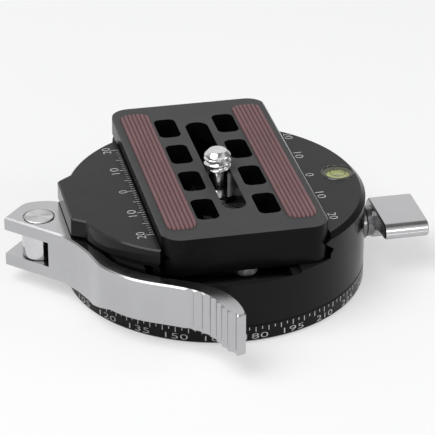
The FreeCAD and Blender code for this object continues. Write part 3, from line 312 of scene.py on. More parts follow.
def anodised(name, top, side, rough_top, rough_side, grain, specular, cut):
    """Anodised aluminium: blasted on level faces, milled and glossier on sides, with cut edges. Level faces
    and sides take separate colours, painted light and shade; the cut edges are bared to metal only on upper
    faces that look towards +X, wear with a painted highlight; holes and corners get painted shade.
    """
    made = Shader(name, (top, top, top), rough_top)
    made.set("Specular IOR Level", specular)
    fine = made.noise(grain, 2.0)
    level = made.level_mask()
    uneven = made.spread(made.noise(700.0, 4.0), 0.7 * cut, cut)
    edge_wear_and_highlight = made.maths("MULTIPLY", made.above(EDGE_WEAR_AND_HIGHLIGHT_FROM), uneven)
    # only faces that look towards +X keep it: a painted highlight on the side where the light catches the
    # edges
    right_edge_wear_and_highlight = made.maths("MULTIPLY", made.right_hand(), edge_wear_and_highlight)
    chamfer = made.maths("MULTIPLY", made.chamfer_mask(), right_edge_wear_and_highlight)
    # level faces and sides take separate colours, painted light and shade for how the light falls on them
    painted_top_and_side = made.mix_color(level, (side, side, 1.05 * side), (top, top, 1.03 * top))
    lighter = made.mix_color(level, (1.6 * side, 1.6 * side, 1.7 * side), (1.3 * top, 1.3 * top, 1.35 * top))
    tinted = made.mix_color(made.spread(made.noise(55.0, 4.0), 0.0, 0.4), painted_top_and_side, lighter)
    edged = made.mix_color(chamfer, tinted, CUT_EDGE_AND_HIGHLIGHT)
    # bores, windows and corners painted near black: painted shade
    made.link(made.mix_color(made.hollow_mask(BODY_SHADE_REACH), edged, PAINTED_SHADE_BLACK),
              made.main.inputs["Base Color"])
    made.link(chamfer, made.main.inputs["Metallic"])
    patches = made.spread(made.noise(140.0, 5.0), -0.03, 0.04)
    rough = made.spread(level, rough_side, rough_top, 0.0, 1.0)
    made.link(made.maths("ADD", rough, patches), made.main.inputs["Roughness"])
    made.link(made.bump(fine, 0.16, 0.00002), made.main.inputs["Normal"])
    return made.material


def satin_alloy():
    """Bead-blasted and clear anodised aluminium; its edge chamfers are rougher and painted darker, painted
    shade that tones down their highlight.
    """
    made = Shader("satin_alloy", PALE_SATIN, 0.22, 1.0)
    fine = made.noise(8200.0, 2.0)
    broad = made.noise(70.0, 4.0)
    chamfer = made.chamfer_mask()
    shade = made.mix_color(made.spread(broad, 0.0, 1.0), DARK_SATIN, PALE_SATIN)
    edged = made.mix_color(chamfer, shade, SATIN_CHAMFER_SHADE)
    made.link(edged, made.main.inputs["Base Color"])
    rough = made.spread(made.noise(220.0, 4.0), 0.17, 0.23)
    made.link(made.maths("ADD", rough, made.maths("MULTIPLY", chamfer, 0.06)), made.main.inputs["Roughness"])
    made.link(made.bump(fine, 0.10, 0.000015), made.main.inputs["Normal"])
    return made.material


def steel(name, color, roughness, spun=False, streak=(1.0, 1.0, 1.0), painted_shade_reach=0.0012):
    """Turned or brushed steel with fine streaks; spun faces glint along their turning marks. Holes and
    corners within the last argument's reach get painted shade.
    """
    made = Shader(name, color, roughness, 1.0)
    marks = made.noise(1.0, 3.0, made.stretched(tuple(2500.0 * part for part in streak)))
    broad = made.noise(300.0, 3.0)
    darker = tuple(0.88 * part for part in color)
    shade = made.mix_color(made.spread(broad, 0.0, 1.0), darker, color)
    # painted shade: the steel darkens in holes and corners, within the given reach
    if painted_shade_reach:
        shade = made.mix_color(made.hollow_mask(painted_shade_reach), shade, tuple(0.08 * part for part in color))
    made.link(shade, made.main.inputs["Base Color"])
    made.link(made.spread(marks, max(0.03, roughness - 0.05), roughness + 0.07),
              made.main.inputs["Roughness"])
    made.link(made.bump(marks, 0.03, 0.00001), made.main.inputs["Normal"])
    if spun:
        made.set("Anisotropic", 0.92)
        around = made.node("Tangent", direction_type="RADIAL", axis="Z")
        made.link(around.outputs["Tangent"], made.main.inputs["Tangent"])
    return made.material


def rubber():
    """Matt red-brown rubber with a fine slanted moulding pattern, a little dust, and painted shade in the
    grooves between the ribs.
    """
    made = Shader("grip_rubber", (0.15, 0.066, 0.07), 0.62)
    made.set("Specular IOR Level", 0.35)
    wave = made.node("TexWave", wave_type="BANDS", bands_direction="DIAGONAL", Scale=520.0, Distortion=0.6)
    made.link(made.coordinates.outputs["Object"], wave.inputs["Vector"])
    grain = made.noise(3800.0, 3.0)
    broad = made.noise(90.0, 4.0)
    shade = made.mix_color(made.spread(broad, 0.0, 1.0), (0.150, 0.072, 0.077), (0.190, 0.094, 0.099))
    dusty = made.mix_color(made.spread(grain, 0.0, 0.25), shade, RUBBER_DUST)
    parts = made.node("SeparateXYZ")
    made.link(made.coordinates.outputs["Generated"], parts.inputs["Vector"])
    across = made.maths("MULTIPLY", parts.outputs["X"], RIBS * math.pi)
    crest = made.maths("ABSOLUTE", made.maths("SINE", across))
    # painted shade: darker in the grooves between the ribs
    made.link(made.mix_color(made.spread(crest, 0.8, 0.0, 0.0, 0.8), dusty, GROOVE_SHADE_RED),
              made.main.inputs["Base Color"])
    made.link(made.spread(grain, 0.55, 0.72), made.main.inputs["Roughness"])
    first = made.bump(wave.outputs["Fac"], 0.22, 0.00004)
    made.link(made.bump(grain, 0.3, 0.00003, first), made.main.inputs["Normal"])
    return made.material


def marking_paint():
    """White paint in engraved marks, thinned here and there."""
    made = Shader("marking_paint", (0.62, 0.62, 0.62), 0.55)
    thin = made.spread(made.noise(2600.0, 4.0), 0.0, 1.0, 0.25, 0.5)
    made.link(made.mix_color(thin, (0.30, 0.30, 0.30), (0.66, 0.66, 0.65)), made.main.inputs["Base Color"])
    made.link(made.bump(made.noise(6000.0), 0.15, 0.00001), made.main.inputs["Normal"])
    return made.material


def brass():
    """Turned brass with streaks round its axis."""
    made = Shader("brass", (0.66, 0.46, 0.20), 0.3, 1.0)
    marks = made.noise(1.0, 3.0, made.stretched((3000.0, 300.0, 300.0)))
    made.link(made.spread(marks, 0.24, 0.4), made.main.inputs["Roughness"])
    cloud = made.spread(made.noise(500.0), 0.0, 1.0)
    made.link(made.mix_color(cloud, (0.58, 0.39, 0.16), (0.70, 0.50, 0.23)), made.main.inputs["Base Color"])
    return made.material


def polymer(name, dark, light):
    """Plain moulded plastic, or ink, with a fine speckle between two colours."""
    made = Shader(name, dark, 0.5)
    speckle = made.noise(5200.0, 2.0)
    made.link(made.mix_color(made.spread(speckle, 0.0, 1.0), dark, light), made.main.inputs["Base Color"])
    made.link(made.bump(speckle, 0.15, 0.00001), made.main.inputs["Normal"])
    return made.material


def level_plastic(name, dark, light):
    """The level's cup and lip: glossy plastic, clouded between two greys."""
    made = Shader(name, dark, 0.16)
    cloud = made.noise(700.0, 3.0)
    made.link(made.mix_color(made.spread(cloud, 0.0, 1.0), dark, light), made.main.inputs["Base Color"])
    made.link(made.spread(cloud, 0.12, 0.22), made.main.inputs["Roughness"])
    return made.material


def level_liquid():
    """The level's yellow-green liquid, seen as a solid colour."""
    made = Shader("level_liquid", (0.52, 0.54, 0.17), 0.25)
    cloud = made.noise(900.0, 2.0)
    made.link(made.mix_color(made.spread(cloud, 0.0, 1.0), (0.44, 0.47, 0.14), (0.58, 0.60, 0.22)),
              made.main.inputs["Base Color"])
    return made.material


def clear_plastic(name, color, roughness, alpha):
    """Clear and nearly invisible, but for its gloss."""
    made = Shader(name, color, roughness)
    made.set("Alpha", alpha)
    made.link(made.spread(made.noise(1500.0), roughness, roughness + 0.05), made.main.inputs["Roughness"])
    return made.material


MATERIALS = {
    # top and side are the colours of level faces and of sides, set apart as painted light and shade
    "black_anodised": anodised("black_anodised", top=0.012, side=0.006, rough_top=0.28, rough_side=0.16,
                               grain=9500.0, specular=0.13, cut=0.0),
    "jaw_black": anodised("jaw_black", top=0.006, side=0.008, rough_top=0.28, rough_side=0.12,
                          grain=9500.0, specular=0.17, cut=0.45),
    "plate_black": anodised("plate_black", top=0.047, side=0.003, rough_top=0.42, rough_side=0.28,
                            grain=8000.0, specular=0.10, cut=0.9),
    "ring_black": anodised("ring_black", top=0.012, side=0.007, rough_top=0.32, rough_side=0.26,
                           grain=9500.0, specular=0.12, cut=0.2),
    "satin_alloy": satin_alloy(),
    "steel": steel("steel", (0.52, 0.52, 0.53), 0.28),
    "bright_steel": steel("bright_steel", (0.66, 0.66, 0.67), 0.12),
    "polished_steel": steel("polished_steel", (0.66, 0.66, 0.67), 0.14, painted_shade_reach=0.0),
    "spun_steel": steel("spun_steel", (0.60, 0.60, 0.61), 0.32, spun=True),
    "eye_steel": steel("eye_steel", (0.66, 0.66, 0.67), 0.12, painted_shade_reach=0.0035),
    "dark_steel": steel("dark_steel", (0.20, 0.20, 0.205), 0.14),
    # lighter than the other steels: painted light that lifts the stop screw out of the shade under the plate
    "lightened_milled_steel": steel("lightened_milled_steel", (0.85, 0.85, 0.86), 0.45, streak=(1.0, 1.0, 0.1), painted_shade_reach=0.0),
    "grip_rubber": rubber(),
    "marking_paint": marking_paint(),
    "brass": brass(),
    "bronze_polymer": polymer("bronze_polymer", (0.10, 0.095, 0.09), (0.20, 0.18, 0.16)),
    "level_plastic": level_plastic("level_plastic", (0.030, 0.032, 0.026), (0.055, 0.058, 0.045)),
    "level_liquid": level_liquid(),
    "level_bubble": clear_plastic("level_bubble", (0.90, 0.92, 0.70), 0.05, 0.45),
    "level_glass": clear_plastic("level_glass", (0.80, 0.82, 0.60), 0.02, 0.12),
    "level_ink": polymer("level_ink", (0.03, 0.035, 0.01), (0.05, 0.055, 0.02)),
}

NODE_MATERIAL = {
    "scale_base": "ring_black", "spindle": "steel", "spindle_screws": "steel",
    "lower_washer": "bronze_polymer", "upper_washer": "bronze_polymer", "retainer_nut": "steel",
    "pan_body": "black_anodised", "movable_jaw": "jaw_black", "quick_plate": "plate_black",
    "cam_pad": "steel", "draw_bolt": "eye_steel", "draw_nut": "steel", "guide_pins": "steel",
    "front_spring": "steel", "rear_spring": "steel", "clamp_lever": "satin_alloy",
    "lever_pin": "spun_steel", "brake_shoe": "brass", "lock_bush": "dark_steel",
    "lock_shaft": "dark_steel", "lock_paddle": "satin_alloy", "paddle_set_screw": "steel",
    "left_grip": "grip_rubber", "right_grip": "grip_rubber", "screw_washer": "polished_steel",
    "camera_screw": "bright_steel", "stop_screw": "bright_steel", "level_cup": "level_plastic",
    "level_liquid": "level_liquid", "level_bubble": "level_bubble", "level_window": "level_glass",
}


def dress_nodes():
    """Give every CAD node its material."""
    for name, material in NODE_MATERIAL.items():
        mesh = NODES[name].data
        mesh.materials.clear()
        mesh.materials.append(MATERIALS[material])


# ---------------------------------------------------------------- figures and scales

FIGURE_DEPTH = 0.05
FIGURE_EXTRUDE = 0.5         # half of the figures' own thickness, before they are scaled
FIGURE_SMOOTHNESS = 3
PAINT_PROUD = 0.02
STROKE_OFFSET = -0.016       # thins the figures' strokes, in the font's own units


def figure_mesh(text, height, width):
    """Flat solid figures in millimetres: width along x, height along y, middle at the origin."""
    curve = bpy.data.curves.new("figures", "FONT")
    curve.body = text
    curve.resolution_u = FIGURE_SMOOTHNESS
    curve.extrude = FIGURE_EXTRUDE
    curve.offset = STROKE_OFFSET
    holder = bpy.data.objects.new("figures", curve)
    bpy.context.scene.collection.objects.link(holder)
    bpy.context.view_layer.update()
    mesh = bpy.data.meshes.new_from_object(holder.evaluated_get(bpy.context.evaluated_depsgraph_get()))
    bpy.data.objects.remove(holder)
    bpy.data.curves.remove(curve)
    xs = [vertex.co.x for vertex in mesh.vertices]
    ys = [vertex.co.y for vertex in mesh.vertices]
    centre = Vector(((min(xs) + max(xs)) / 2, (min(ys) + max(ys)) / 2, 0))
    for vertex in mesh.vertices:
        local = vertex.co - centre
        vertex.co = Vector((local.x * width / (max(xs) - min(xs)), local.y * height / (max(ys) - min(ys)),
                            FIGURE_DEPTH * (local.z - FIGURE_EXTRUDE) + PAINT_PROUD))
    return mesh


def add_mesh(bm, mesh, place):
    """Copy a mesh into bm, each vertex moved by the function place."""
    for vertex in mesh.vertices:
        vertex.co = place(vertex.co)
    bm.from_mesh(mesh)
    bpy.data.meshes.remove(mesh)


DEGREE_ZERO = 92.85          # where the ring's 0 mark stands, degrees round +Z
DEGREE_FIGURE_SHIFT = 0.4    # the figures stand a little after their marks
DEGREE_STEP = 2.5
DEGREES_PER_FIGURE = 15
TICK_TOP = 3.62
TICK_LONG, TICK_SHORT = 1.22, 0.66
TICK_WIDTH = 0.18
DEGREE_FIGURE_MIDDLE = 1.34
DEGREE_FIGURE_HEIGHT = 1.3
DEGREE_FIGURE_WIDTH = {1: 1.45, 2: 3.4, 3: 5.2}    # by the number of digits


def on_ring(across, height, proud, degrees):
    """A place on the base's outer wall: across is measured along the wall."""
    angle = math.radians(DEGREE_ZERO + degrees) + across / BASE_RADIUS
    radius = BASE_RADIUS + proud
    return Vector((radius * math.cos(angle), radius * math.sin(angle), height))


def ring_scale():
    """Degree marks and figures round the base."""
    bm = bmesh.new()
    for number in range(int(360 / DEGREE_STEP)):
        degrees = number * DEGREE_STEP
        length = TICK_SHORT if number % 2 else TICK_LONG
        corners = []
        for height in (TICK_TOP - length, TICK_TOP):
            for across, proud in ((-1, -1), (1, -1), (1, 1), (-1, 1)):
                depth = PAINT_PROUD if proud > 0 else PAINT_PROUD - FIGURE_DEPTH
                corners.append(on_ring(across * TICK_WIDTH / 2, height, depth, degrees))
        add_block(bm, corners)
    for degrees in range(0, 360, DEGREES_PER_FIGURE):
        text = str(degrees)
        mesh = figure_mesh(text, DEGREE_FIGURE_HEIGHT, DEGREE_FIGURE_WIDTH[len(text)])
        add_mesh(bm, mesh, lambda co, d=degrees + DEGREE_FIGURE_SHIFT: on_ring(
            co.x, DEGREE_FIGURE_MIDDLE + co.y, co.z, d))
    finish_mesh("ring_scale", bm, "base", MATERIALS["marking_paint"])


SCALE_ZERO_Y = 2.29
SCALE_UNIT = 1.082
SCALE_REACH = 20             # units to each side of the zero
UNIT_TICK_SHARE = 0.75       # how wide a unit's tick is beside the longer ones
JAW_TICK_WIDTH = 0.16
JAW_TICKS = {"ten": (-20.0, -18.25), "five": (-19.85, -18.25), "unit": (-19.1, -18.3)}    # ends along X
LEFT_FIGURES_X = -21.15
RIGHT_FIGURES_X = 23.0
RIGHT_ZERO_Y = 1.7
RIGHT_UNIT = 1.05
JAW_FIGURE_HEIGHT = 1.95
JAW_FIGURE_WIDTH = {1: 1.35, 2: 3.0}


def jaw_scales():
    """Unit marks and figures beside the plate: both on the left jaw, figures on the right one."""
    left, right = bmesh.new(), bmesh.new()
    for unit in range(-SCALE_REACH, SCALE_REACH + 1):
        kind = "ten" if unit % 10 == 0 else "five" if unit % 5 == 0 else "unit"
        start, end = JAW_TICKS[kind]
        y = SCALE_ZERO_Y + unit * SCALE_UNIT
        half = JAW_TICK_WIDTH / 2 * (UNIT_TICK_SHARE if kind == "unit" else 1.0)
        corners = []
        for height in (JAW_TOP + PAINT_PROUD - FIGURE_DEPTH, JAW_TOP + PAINT_PROUD):
            corners += [(start, y - half, height), (end, y - half, height), (end, y + half, height),
                        (start, y + half, height)]
        add_block(left, corners)
    for unit in range(-SCALE_REACH, SCALE_REACH + 1, 10):
        text = str(abs(unit))
        for bm, x, y, side in ((left, LEFT_FIGURES_X, SCALE_ZERO_Y + unit * SCALE_UNIT, -1),
                               (right, RIGHT_FIGURES_X, RIGHT_ZERO_Y + unit * RIGHT_UNIT, 1)):
            mesh = figure_mesh(text, JAW_FIGURE_HEIGHT, JAW_FIGURE_WIDTH[len(text)])
            add_mesh(bm, mesh, lambda co, x=x, y=y, side=side: Vector(
                (x + side * co.y, y - side * co.x, JAW_TOP + co.z)))
    finish_mesh("left_jaw_scale", left, "jaw", MATERIALS["marking_paint"])
    finish_mesh("right_jaw_scale", right, "turning_body", MATERIALS["marking_paint"])


# ---------------------------------------------------------------- turned pieces

THREAD_PITCH = 1.27
THREAD_CREST, THREAD_ROOT = 3.175, 2.62
THREAD_SEATING = 0.02        # how deep a thread starts in its core
THREAD_BOTTOM_OVER_PLATE = 0.24
THREAD_START_ANGLE = math.radians(215)
NECK_RADIUS = 2.35
SCREW_END = (                # radius, and depth under the camera screw's top
    (THREAD_ROOT, 1.5), (3.02, 1.2), (3.08, 1.11), (3.02, 1.0), (2.75, 0.7), (2.42, 0.38),
    (2.16, 0.13), (2.05, 0.04), (1.92, 0.0), (0.55, 0.0), (0.45, 0.04), (0, 0.05),
)
COIN_HEAD_HEIGHT = 1.9
COIN_SLOT_WIDTH, COIN_SLOT_DEPTH = 1.5, 0.9
CUTTER_SPARE = 1             # how far a cutter stands out of what it cuts
STOP_HEAD_HEIGHT = 3.25
STOP_SHANK_RADIUS = 1.45
SOCKET_RADIUS, SOCKET_DEPTH = 1.3, 1.6
TRIPOD_THREAD_RADIUS, TRIPOD_THREAD_DEPTH, TRIPOD_THREAD_PITCH = 4.7625, 0.72, 1.5875
TRIPOD_THREAD_FROM, TRIPOD_THREAD_UNDER_TOP = 0.15, 0.1
RING_MARK_INNER, RING_MARK_OUTER = 1.72, 1.90
MARK_PROUD, MARK_SUNK = 0.02, 0.01
LEVEL_LIP = (                # inset from the cup's rim, and height over the jaw
    (0.50, -0.01), (0.48, 0.24), (0.40, 0.31), (0.27, 0.26), (0.13, 0.14), (0.02, -0.01), (0.50, -0.01),
)


def threaded_camera_screw():
    """Camera screw with its real thread, a shouldered top, a thin neck and a coin-slotted head."""
    top, bottom = high("camera_screw").z, low("camera_screw").z
    start = PLATE_TOP + THREAD_BOTTOM_OVER_PLATE
    neck, root = NECK_RADIUS, THREAD_ROOT
    head = (high("camera_screw").x - low("camera_screw").x) / 2
    head_top = bottom + COIN_HEAD_HEIGHT
    centre = Vector((CAMERA_SCREW.x, CAMERA_SCREW.y, 0))
    bm = bmesh.new()
    add_lathe(bm, (
        (0, bottom), (head - 0.45, bottom), (head - 0.12, bottom + 0.12), (head, bottom + 0.45),
        (head, head_top - 0.35), (head - 0.1, head_top - 0.1), (head - 0.35, head_top),
        (neck + 0.3, head_top), (neck, head_top + 0.3), (neck, start - 0.5), (root - 0.1, start - 0.3),
        (root, start - 0.1), *((radius, top - depth) for radius, depth in SCREW_END),
    ), centre)
    add_thread(bm, centre, root - THREAD_SEATING, THREAD_CREST, THREAD_PITCH, start - 0.2, top - 1.1,
               start_angle=THREAD_START_ANGLE)
    screw = finish_mesh("camera_screw_threaded", bm, "screw", MATERIALS["polished_steel"],
                        smooth_angle=ROUND_ANGLE)
    cut_coin_slot(screw, centre, bottom, head)
    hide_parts("camera_screw")


def cut_coin_slot(screw, centre, bottom, head):
    """Cut the coin slot across the underside of the head."""
    bm = bmesh.new()
    half, reach = COIN_SLOT_WIDTH / 2, head + CUTTER_SPARE
    corners = []
    for height in (bottom - CUTTER_SPARE, bottom + COIN_SLOT_DEPTH):
        corners += [Vector((centre.x + across * reach, centre.y + along * half, height))
                    for across, along in ((-1, -1), (1, -1), (1, 1), (-1, 1))]
    add_block(bm, corners)
    cut_away(screw, bm)


def cut_away(piece, cutter_bm):
    """Subtract a cutter, given in millimetres, from a piece and keep the result as its mesh."""
    bmesh.ops.recalc_face_normals(cutter_bm, faces=cutter_bm.faces)
    bmesh.ops.scale(cutter_bm, vec=(MM, MM, MM), verts=cutter_bm.verts)
    mesh = bpy.data.meshes.new("cutter")
    cutter_bm.to_mesh(mesh)
    cutter_bm.free()
    cutter = bpy.data.objects.new("cutter", mesh)
    bpy.context.scene.collection.objects.link(cutter)
    modifier = piece.modifiers.new("cut", "BOOLEAN")
    modifier.object = cutter
    modifier.operation = "DIFFERENCE"
    modifier.solver = "EXACT"
    bpy.context.view_layer.update()
    result = bpy.data.meshes.new_from_object(piece.evaluated_get(bpy.context.evaluated_depsgraph_get()))
    piece.modifiers.remove(modifier)
    piece.data = result
    bpy.data.objects.remove(cutter)


def turned_stop_screw():
    """Stop screw under the plate's front end, with a rounded rim and a hexagon socket."""
    bottom, radius = low("stop_screw").z, (high("stop_screw").x - low("stop_screw").x) / 2
    head_top = bottom + STOP_HEAD_HEIGHT
    centre = Vector((STOP_SCREW.x, STOP_SCREW.y, 0))
    bm = bmesh.new()
    add_lathe(bm, (
        (0, bottom), (radius - 0.75, bottom), (radius - 0.5, bottom + 0.06), (radius - 0.2, bottom + 0.25),
        (radius - 0.05, bottom + 0.5), (radius, bottom + 0.8), (radius, head_top - 0.15),
        (radius - 0.15, head_top), (STOP_SHANK_RADIUS, head_top), (STOP_SHANK_RADIUS, high("stop_screw").z),
        (0, high("stop_screw").z),
    ), centre)
    screw = finish_mesh("stop_screw_turned", bm, "plate", MATERIALS["lightened_milled_steel"])
    socket = bmesh.new()
    bmesh.ops.create_cone(socket, cap_ends=True, segments=6, radius1=SOCKET_RADIUS, radius2=SOCKET_RADIUS,
                          depth=2 * SOCKET_DEPTH, matrix=Matrix.Translation((centre.x, centre.y, bottom)))
    cut_away(screw, socket)
    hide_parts("stop_screw")


def tripod_thread():
    """The female thread in the spindle's bore."""
    bm = bmesh.new()
    add_thread(bm, Vector((0, 0, 0)), TRIPOD_THREAD_RADIUS + THREAD_SEATING,
               TRIPOD_THREAD_RADIUS - TRIPOD_THREAD_DEPTH, TRIPOD_THREAD_PITCH, TRIPOD_THREAD_FROM,
               high("spindle").z - TRIPOD_THREAD_UNDER_TOP, steps=44)
    finish_mesh("tripod_thread", bm, "base", MATERIALS["steel"])


def level_marks():
    """The ring mark on the level's window and the rounded lip round its cup."""
    bm = bmesh.new()
    sunk, proud = JAW_TOP - MARK_SUNK, JAW_TOP + MARK_PROUD
    centre = Vector((LEVEL.x, LEVEL.y, 0))
    add_lathe(bm, ((RING_MARK_INNER, sunk), (RING_MARK_INNER, proud), (RING_MARK_OUTER, proud),
                   (RING_MARK_OUTER, sunk), (RING_MARK_INNER, sunk)), centre, 64)
    finish_mesh("level_ring_mark", bm, "turning_body", MATERIALS["level_ink"])
    lip = bmesh.new()
    outer = (high("level_cup").x - low("level_cup").x) / 2
    add_lathe(lip, [(outer - inset, JAW_TOP + height) for inset, height in LEVEL_LIP], centre, 72)
    finish_mesh("level_lip", lip, "turning_body", MATERIALS["level_plastic"], ROUND_ANGLE)


# ---------------------------------------------------------------- rubber strips

RIB_SAMPLES = 10
RIB_GROOVE = 0.33
RIB_FULLNESS = 0.7           # power of the sine that shapes a rib; less is squarer
STRIP_CORNER = 2.4
NOSE_LENGTH, NOSE_DROP = 0.45, 0.4
NOSE_STEP = 0.28             # how far the grooves end short of the ribs
ALONG_STEPS = 40
END_SHARES = (0.0, 0.003, 0.008, 0.015)
FIRST_STEP = 0.03            # share of the length where the even steps start


def ribbed_strip(name, node):
    """Rubber strip with rounded ribs along it, each ending in its own small nose."""
    x0, x1 = low(node).x, high(node).x
    y0, y1 = low(node).y, high(node).y
    seat, crest = low(node).z, high(node).z
    columns = RIBS * RIB_SAMPLES
    even = [FIRST_STEP + (1 - 2 * FIRST_STEP) * step / ALONG_STEPS for step in range(ALONG_STEPS + 1)]
    along = [*END_SHARES, *even, *(1 - share for share in reversed(END_SHARES))]
    bm = bmesh.new()
    tops, bottoms = [], []
    for column in range(columns + 1):
        x = x0 + (x1 - x0) * column / columns
        wave = abs(math.sin(math.pi * column / RIB_SAMPLES)) ** RIB_FULLNESS
        edge = min(x - x0, x1 - x)
        inset = 0.0
        if edge < STRIP_CORNER:
            inset = STRIP_CORNER - math.sqrt(STRIP_CORNER ** 2 - (STRIP_CORNER - edge) ** 2)
        inset += NOSE_STEP * (1 - wave)
        start, end = y0 + inset, y1 - inset
        top_row, bottom_row = [], []
        for share in along:
            y = start + (end - start) * share
            nose = min(1.0, min(y - start, end - y) / NOSE_LENGTH)
            rise = 1 - (1 - nose) ** 2
            z = crest - RIB_GROOVE * (1 - wave) - NOSE_DROP * (1 - rise)
            top_row.append(bm.verts.new((x, y, z)))
            bottom_row.append(bm.verts.new((x, y, seat)))
        tops.append(top_row)
        bottoms.append(bottom_row)
    rows = len(along)
    for column in range(columns):
        for row in range(rows - 1):
            bm.faces.new((tops[column][row], tops[column + 1][row], tops[column + 1][row + 1],
                          tops[column][row + 1]))
            bm.faces.new((bottoms[column][row], bottoms[column][row + 1], bottoms[column + 1][row + 1],
                          bottoms[column + 1][row]))
        for row in (0, rows - 1):
            bm.faces.new((tops[column][row], bottoms[column][row], bottoms[column + 1][row],
                          tops[column + 1][row]))
    for column in (0, columns):
        for row in range(rows - 1):
            bm.faces.new((tops[column][row], tops[column][row + 1], bottoms[column][row + 1],
                          bottoms[column][row]))
    strip = finish_mesh(name, bm, "plate", MATERIALS["grip_rubber"], ROUND_ANGLE)
    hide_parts(node)


# ---------------------------------------------------------------- stage, light and camera

CAMERA_PLACE = Vector((-107.772, -486.059, 277.236)) * MM
CAMERA_FORWARD = Vector((0.192295, 0.862412, -0.468261))
CAMERA_RIGHT = Vector((0.976291, -0.216449, 0.002281))
LENS = 200.42
SENSOR = 36.0
NEAREST_SEEN = 0.01
FLOOR_HALF = 6.0
FLOOR_DROP = 0.0002          # keeps the floor clear of the base's underside
FLOOR_GREY = 0.50
FLOOR_GLOW = 0.47
STUDIO_SHADE = 0.22          # how bright the unlit ceiling and side walls show in metal
STUDIO_LIGHT = 0.36          # how strong the studio is as a light
SIDE_WALLS = (0.60, 0.85)    # where the shade of the side walls begins and is full
CEILING = (0.72, 0.92)


def camera():
    """The photo's camera, as it was solved from the object's edges."""
    data = bpy.data.cameras.new("camera")
    data.lens = LENS
    data.sensor_width = SENSOR
    data.clip_start = NEAREST_SEEN
    made = bpy.data.objects.new("camera", data)
    forward = CAMERA_FORWARD.normalized()
    right = (CAMERA_RIGHT - forward * CAMERA_RIGHT.dot(forward)).normalized()
    up = right.cross(forward)
    turn = Matrix((right, up, -forward)).transposed().to_4x4()
    made.matrix_world = Matrix.Translation(CAMERA_PLACE) @ turn
    bpy.context.scene.collection.objects.link(made)
    bpy.context.scene.camera = made


def seen_ray(tree):
    """1 for rays that show the stage: to the camera, in gloss and through clear pieces."""
    path = tree.nodes.new("ShaderNodeLightPath")
    total = path.outputs["Is Camera Ray"]
    for name in ("Is Glossy Ray", "Is Transmission Ray"):
        add = tree.nodes.new("ShaderNodeMath")
        add.operation = "ADD"
        add.use_clamp = True
        tree.links.new(total, add.inputs[0])
        tree.links.new(path.outputs[name], add.inputs[1])
        total = add.outputs[0]
    return total


def floor():
    """Plain pale floor that keeps the object's shadow and reads as white to the camera."""
    bm = bmesh.new()
    bmesh.ops.create_grid(bm, x_segments=1, y_segments=1, size=FLOOR_HALF)
    mesh = bpy.data.meshes.new("floor")
    bm.to_mesh(mesh)
    bm.free()
    made = bpy.data.objects.new("floor", mesh)
    made.location.z = -FLOOR_DROP
    bpy.context.scene.collection.objects.link(made)
    material = bpy.data.materials.new("floor")
    material.use_nodes = True
    tree = material.node_tree
    tree.nodes.clear()
    output = tree.nodes.new("ShaderNodeOutputMaterial")
    lit = tree.nodes.new("ShaderNodeBsdfDiffuse")
    lit.inputs["Color"].default_value = (FLOOR_GREY, FLOOR_GREY, FLOOR_GREY, 1.0)
    glow = tree.nodes.new("ShaderNodeEmission")
    glow.inputs["Color"].default_value = (1.0, 1.0, 1.0, 1.0)
    glow.inputs["Strength"].default_value = FLOOR_GLOW
    both = tree.nodes.new("ShaderNodeAddShader")
    choose = tree.nodes.new("ShaderNodeMixShader")
    tree.links.new(lit.outputs[0], both.inputs[0])
    tree.links.new(glow.outputs[0], both.inputs[1])
    tree.links.new(seen_ray(tree), choose.inputs[0])
    tree.links.new(lit.outputs[0], choose.inputs[1])
    tree.links.new(both.outputs[0], choose.inputs[2])
    tree.links.new(choose.outputs[0], output.inputs["Surface"])
    mesh.materials.append(material)


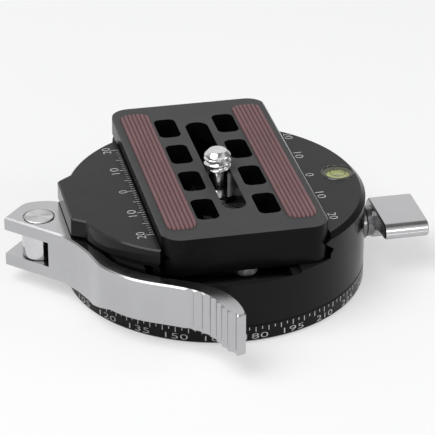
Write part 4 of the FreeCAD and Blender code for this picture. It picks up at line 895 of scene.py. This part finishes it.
def world():
    """Soft studio: white to the camera, with shaded walls and ceiling in gloss, weaker as a light."""
    made = bpy.data.worlds.new("studio")
    made.use_nodes = True
    bpy.context.scene.world = made
    tree = made.node_tree
    tree.nodes.clear()
    output = tree.nodes.new("ShaderNodeOutputWorld")
    seen = tree.nodes.new("ShaderNodeBackground")
    seen.inputs["Color"].default_value = (1.0, 1.0, 1.0, 1.0)
    seen.inputs["Strength"].default_value = 1.0
    light = tree.nodes.new("ShaderNodeBackground")
    light.inputs["Color"].default_value = (0.97, 0.985, 1.0, 1.0)
    light.inputs["Strength"].default_value = STUDIO_LIGHT
    choose = tree.nodes.new("ShaderNodeMixShader")
    tree.links.new(seen_ray(tree), choose.inputs[0])
    tree.links.new(light.outputs[0], choose.inputs[1])
    tree.links.new(seen.outputs[0], choose.inputs[2])
    tree.links.new(choose.outputs[0], output.inputs["Surface"])
    way = tree.nodes.new("ShaderNodeSeparateXYZ")
    tree.links.new(tree.nodes.new("ShaderNodeTexCoord").outputs["Generated"], way.inputs["Vector"])
    side = tree.nodes.new("ShaderNodeMath")
    side.operation = "ABSOLUTE"
    tree.links.new(way.outputs["X"], side.inputs[0])
    shades = []
    for output_socket, (begin, end) in ((side.outputs[0], SIDE_WALLS), (way.outputs["Z"], CEILING)):
        shade = tree.nodes.new("ShaderNodeMapRange")
        shade.interpolation_type = "SMOOTHSTEP"
        for name, amount in (("From Min", begin), ("From Max", end), ("To Min", 1.0),
                             ("To Max", STUDIO_SHADE)):
            shade.inputs[name].default_value = amount
        tree.links.new(output_socket, shade.inputs["Value"])
        shades.append(shade.outputs["Result"])
    darker = tree.nodes.new("ShaderNodeMath")
    darker.operation = "MINIMUM"
    tree.links.new(shades[0], darker.inputs[0])
    tree.links.new(shades[1], darker.inputs[1])
    tree.links.new(mix_for_camera(tree, darker.outputs[0]), seen.inputs["Strength"])


def mix_for_camera(tree, shade):
    """Plain white for the camera, the shaded studio for gloss."""
    path = tree.nodes.new("ShaderNodeLightPath")
    either = tree.nodes.new("ShaderNodeMath")
    either.operation = "MAXIMUM"
    tree.links.new(path.outputs["Is Camera Ray"], either.inputs[0])
    tree.links.new(shade, either.inputs[1])
    return either.outputs[0]


def softbox(name, place, aim, size, power):
    """A round or oval soft lamp; place and aim in metres, power in watts."""
    data = bpy.data.lights.new(name, "AREA")
    data.shape = "ELLIPSE"
    data.size, data.size_y = size
    data.energy = power
    lamp = bpy.data.objects.new(name, data)
    way = (Vector(aim) - Vector(place)).normalized()
    lamp.matrix_world = Matrix.Translation(Vector(place)) @ way.to_track_quat("-Z", "Y").to_matrix().to_4x4()
    bpy.context.scene.collection.objects.link(lamp)


def lights():
    """A large lamp above on the left, and two weak ones from the right and the front."""
    centre = (0.0, 0.0, 0.01)
    softbox("key", (-0.41, -0.18, 0.77), centre, (0.75, 0.75), 5.6)
    softbox("right_fill", (0.75, -0.30, 0.30), centre, (0.3, 0.5), 1.6)
    softbox("front_fill", (0.20, -0.85, 0.20), centre, (0.5, 0.25), 1.2)


# ---------------------------------------------------------------- build the scene

dress_nodes()
ring_scale()
jaw_scales()
threaded_camera_screw()
turned_stop_screw()
tripod_thread()
level_marks()
ribbed_strip("left_grip_ribbed", "left_grip")
ribbed_strip("right_grip_ribbed", "right_grip")
floor()
world()
lights()
camera()
bpy.context.scene.view_settings.view_transform = "Standard"
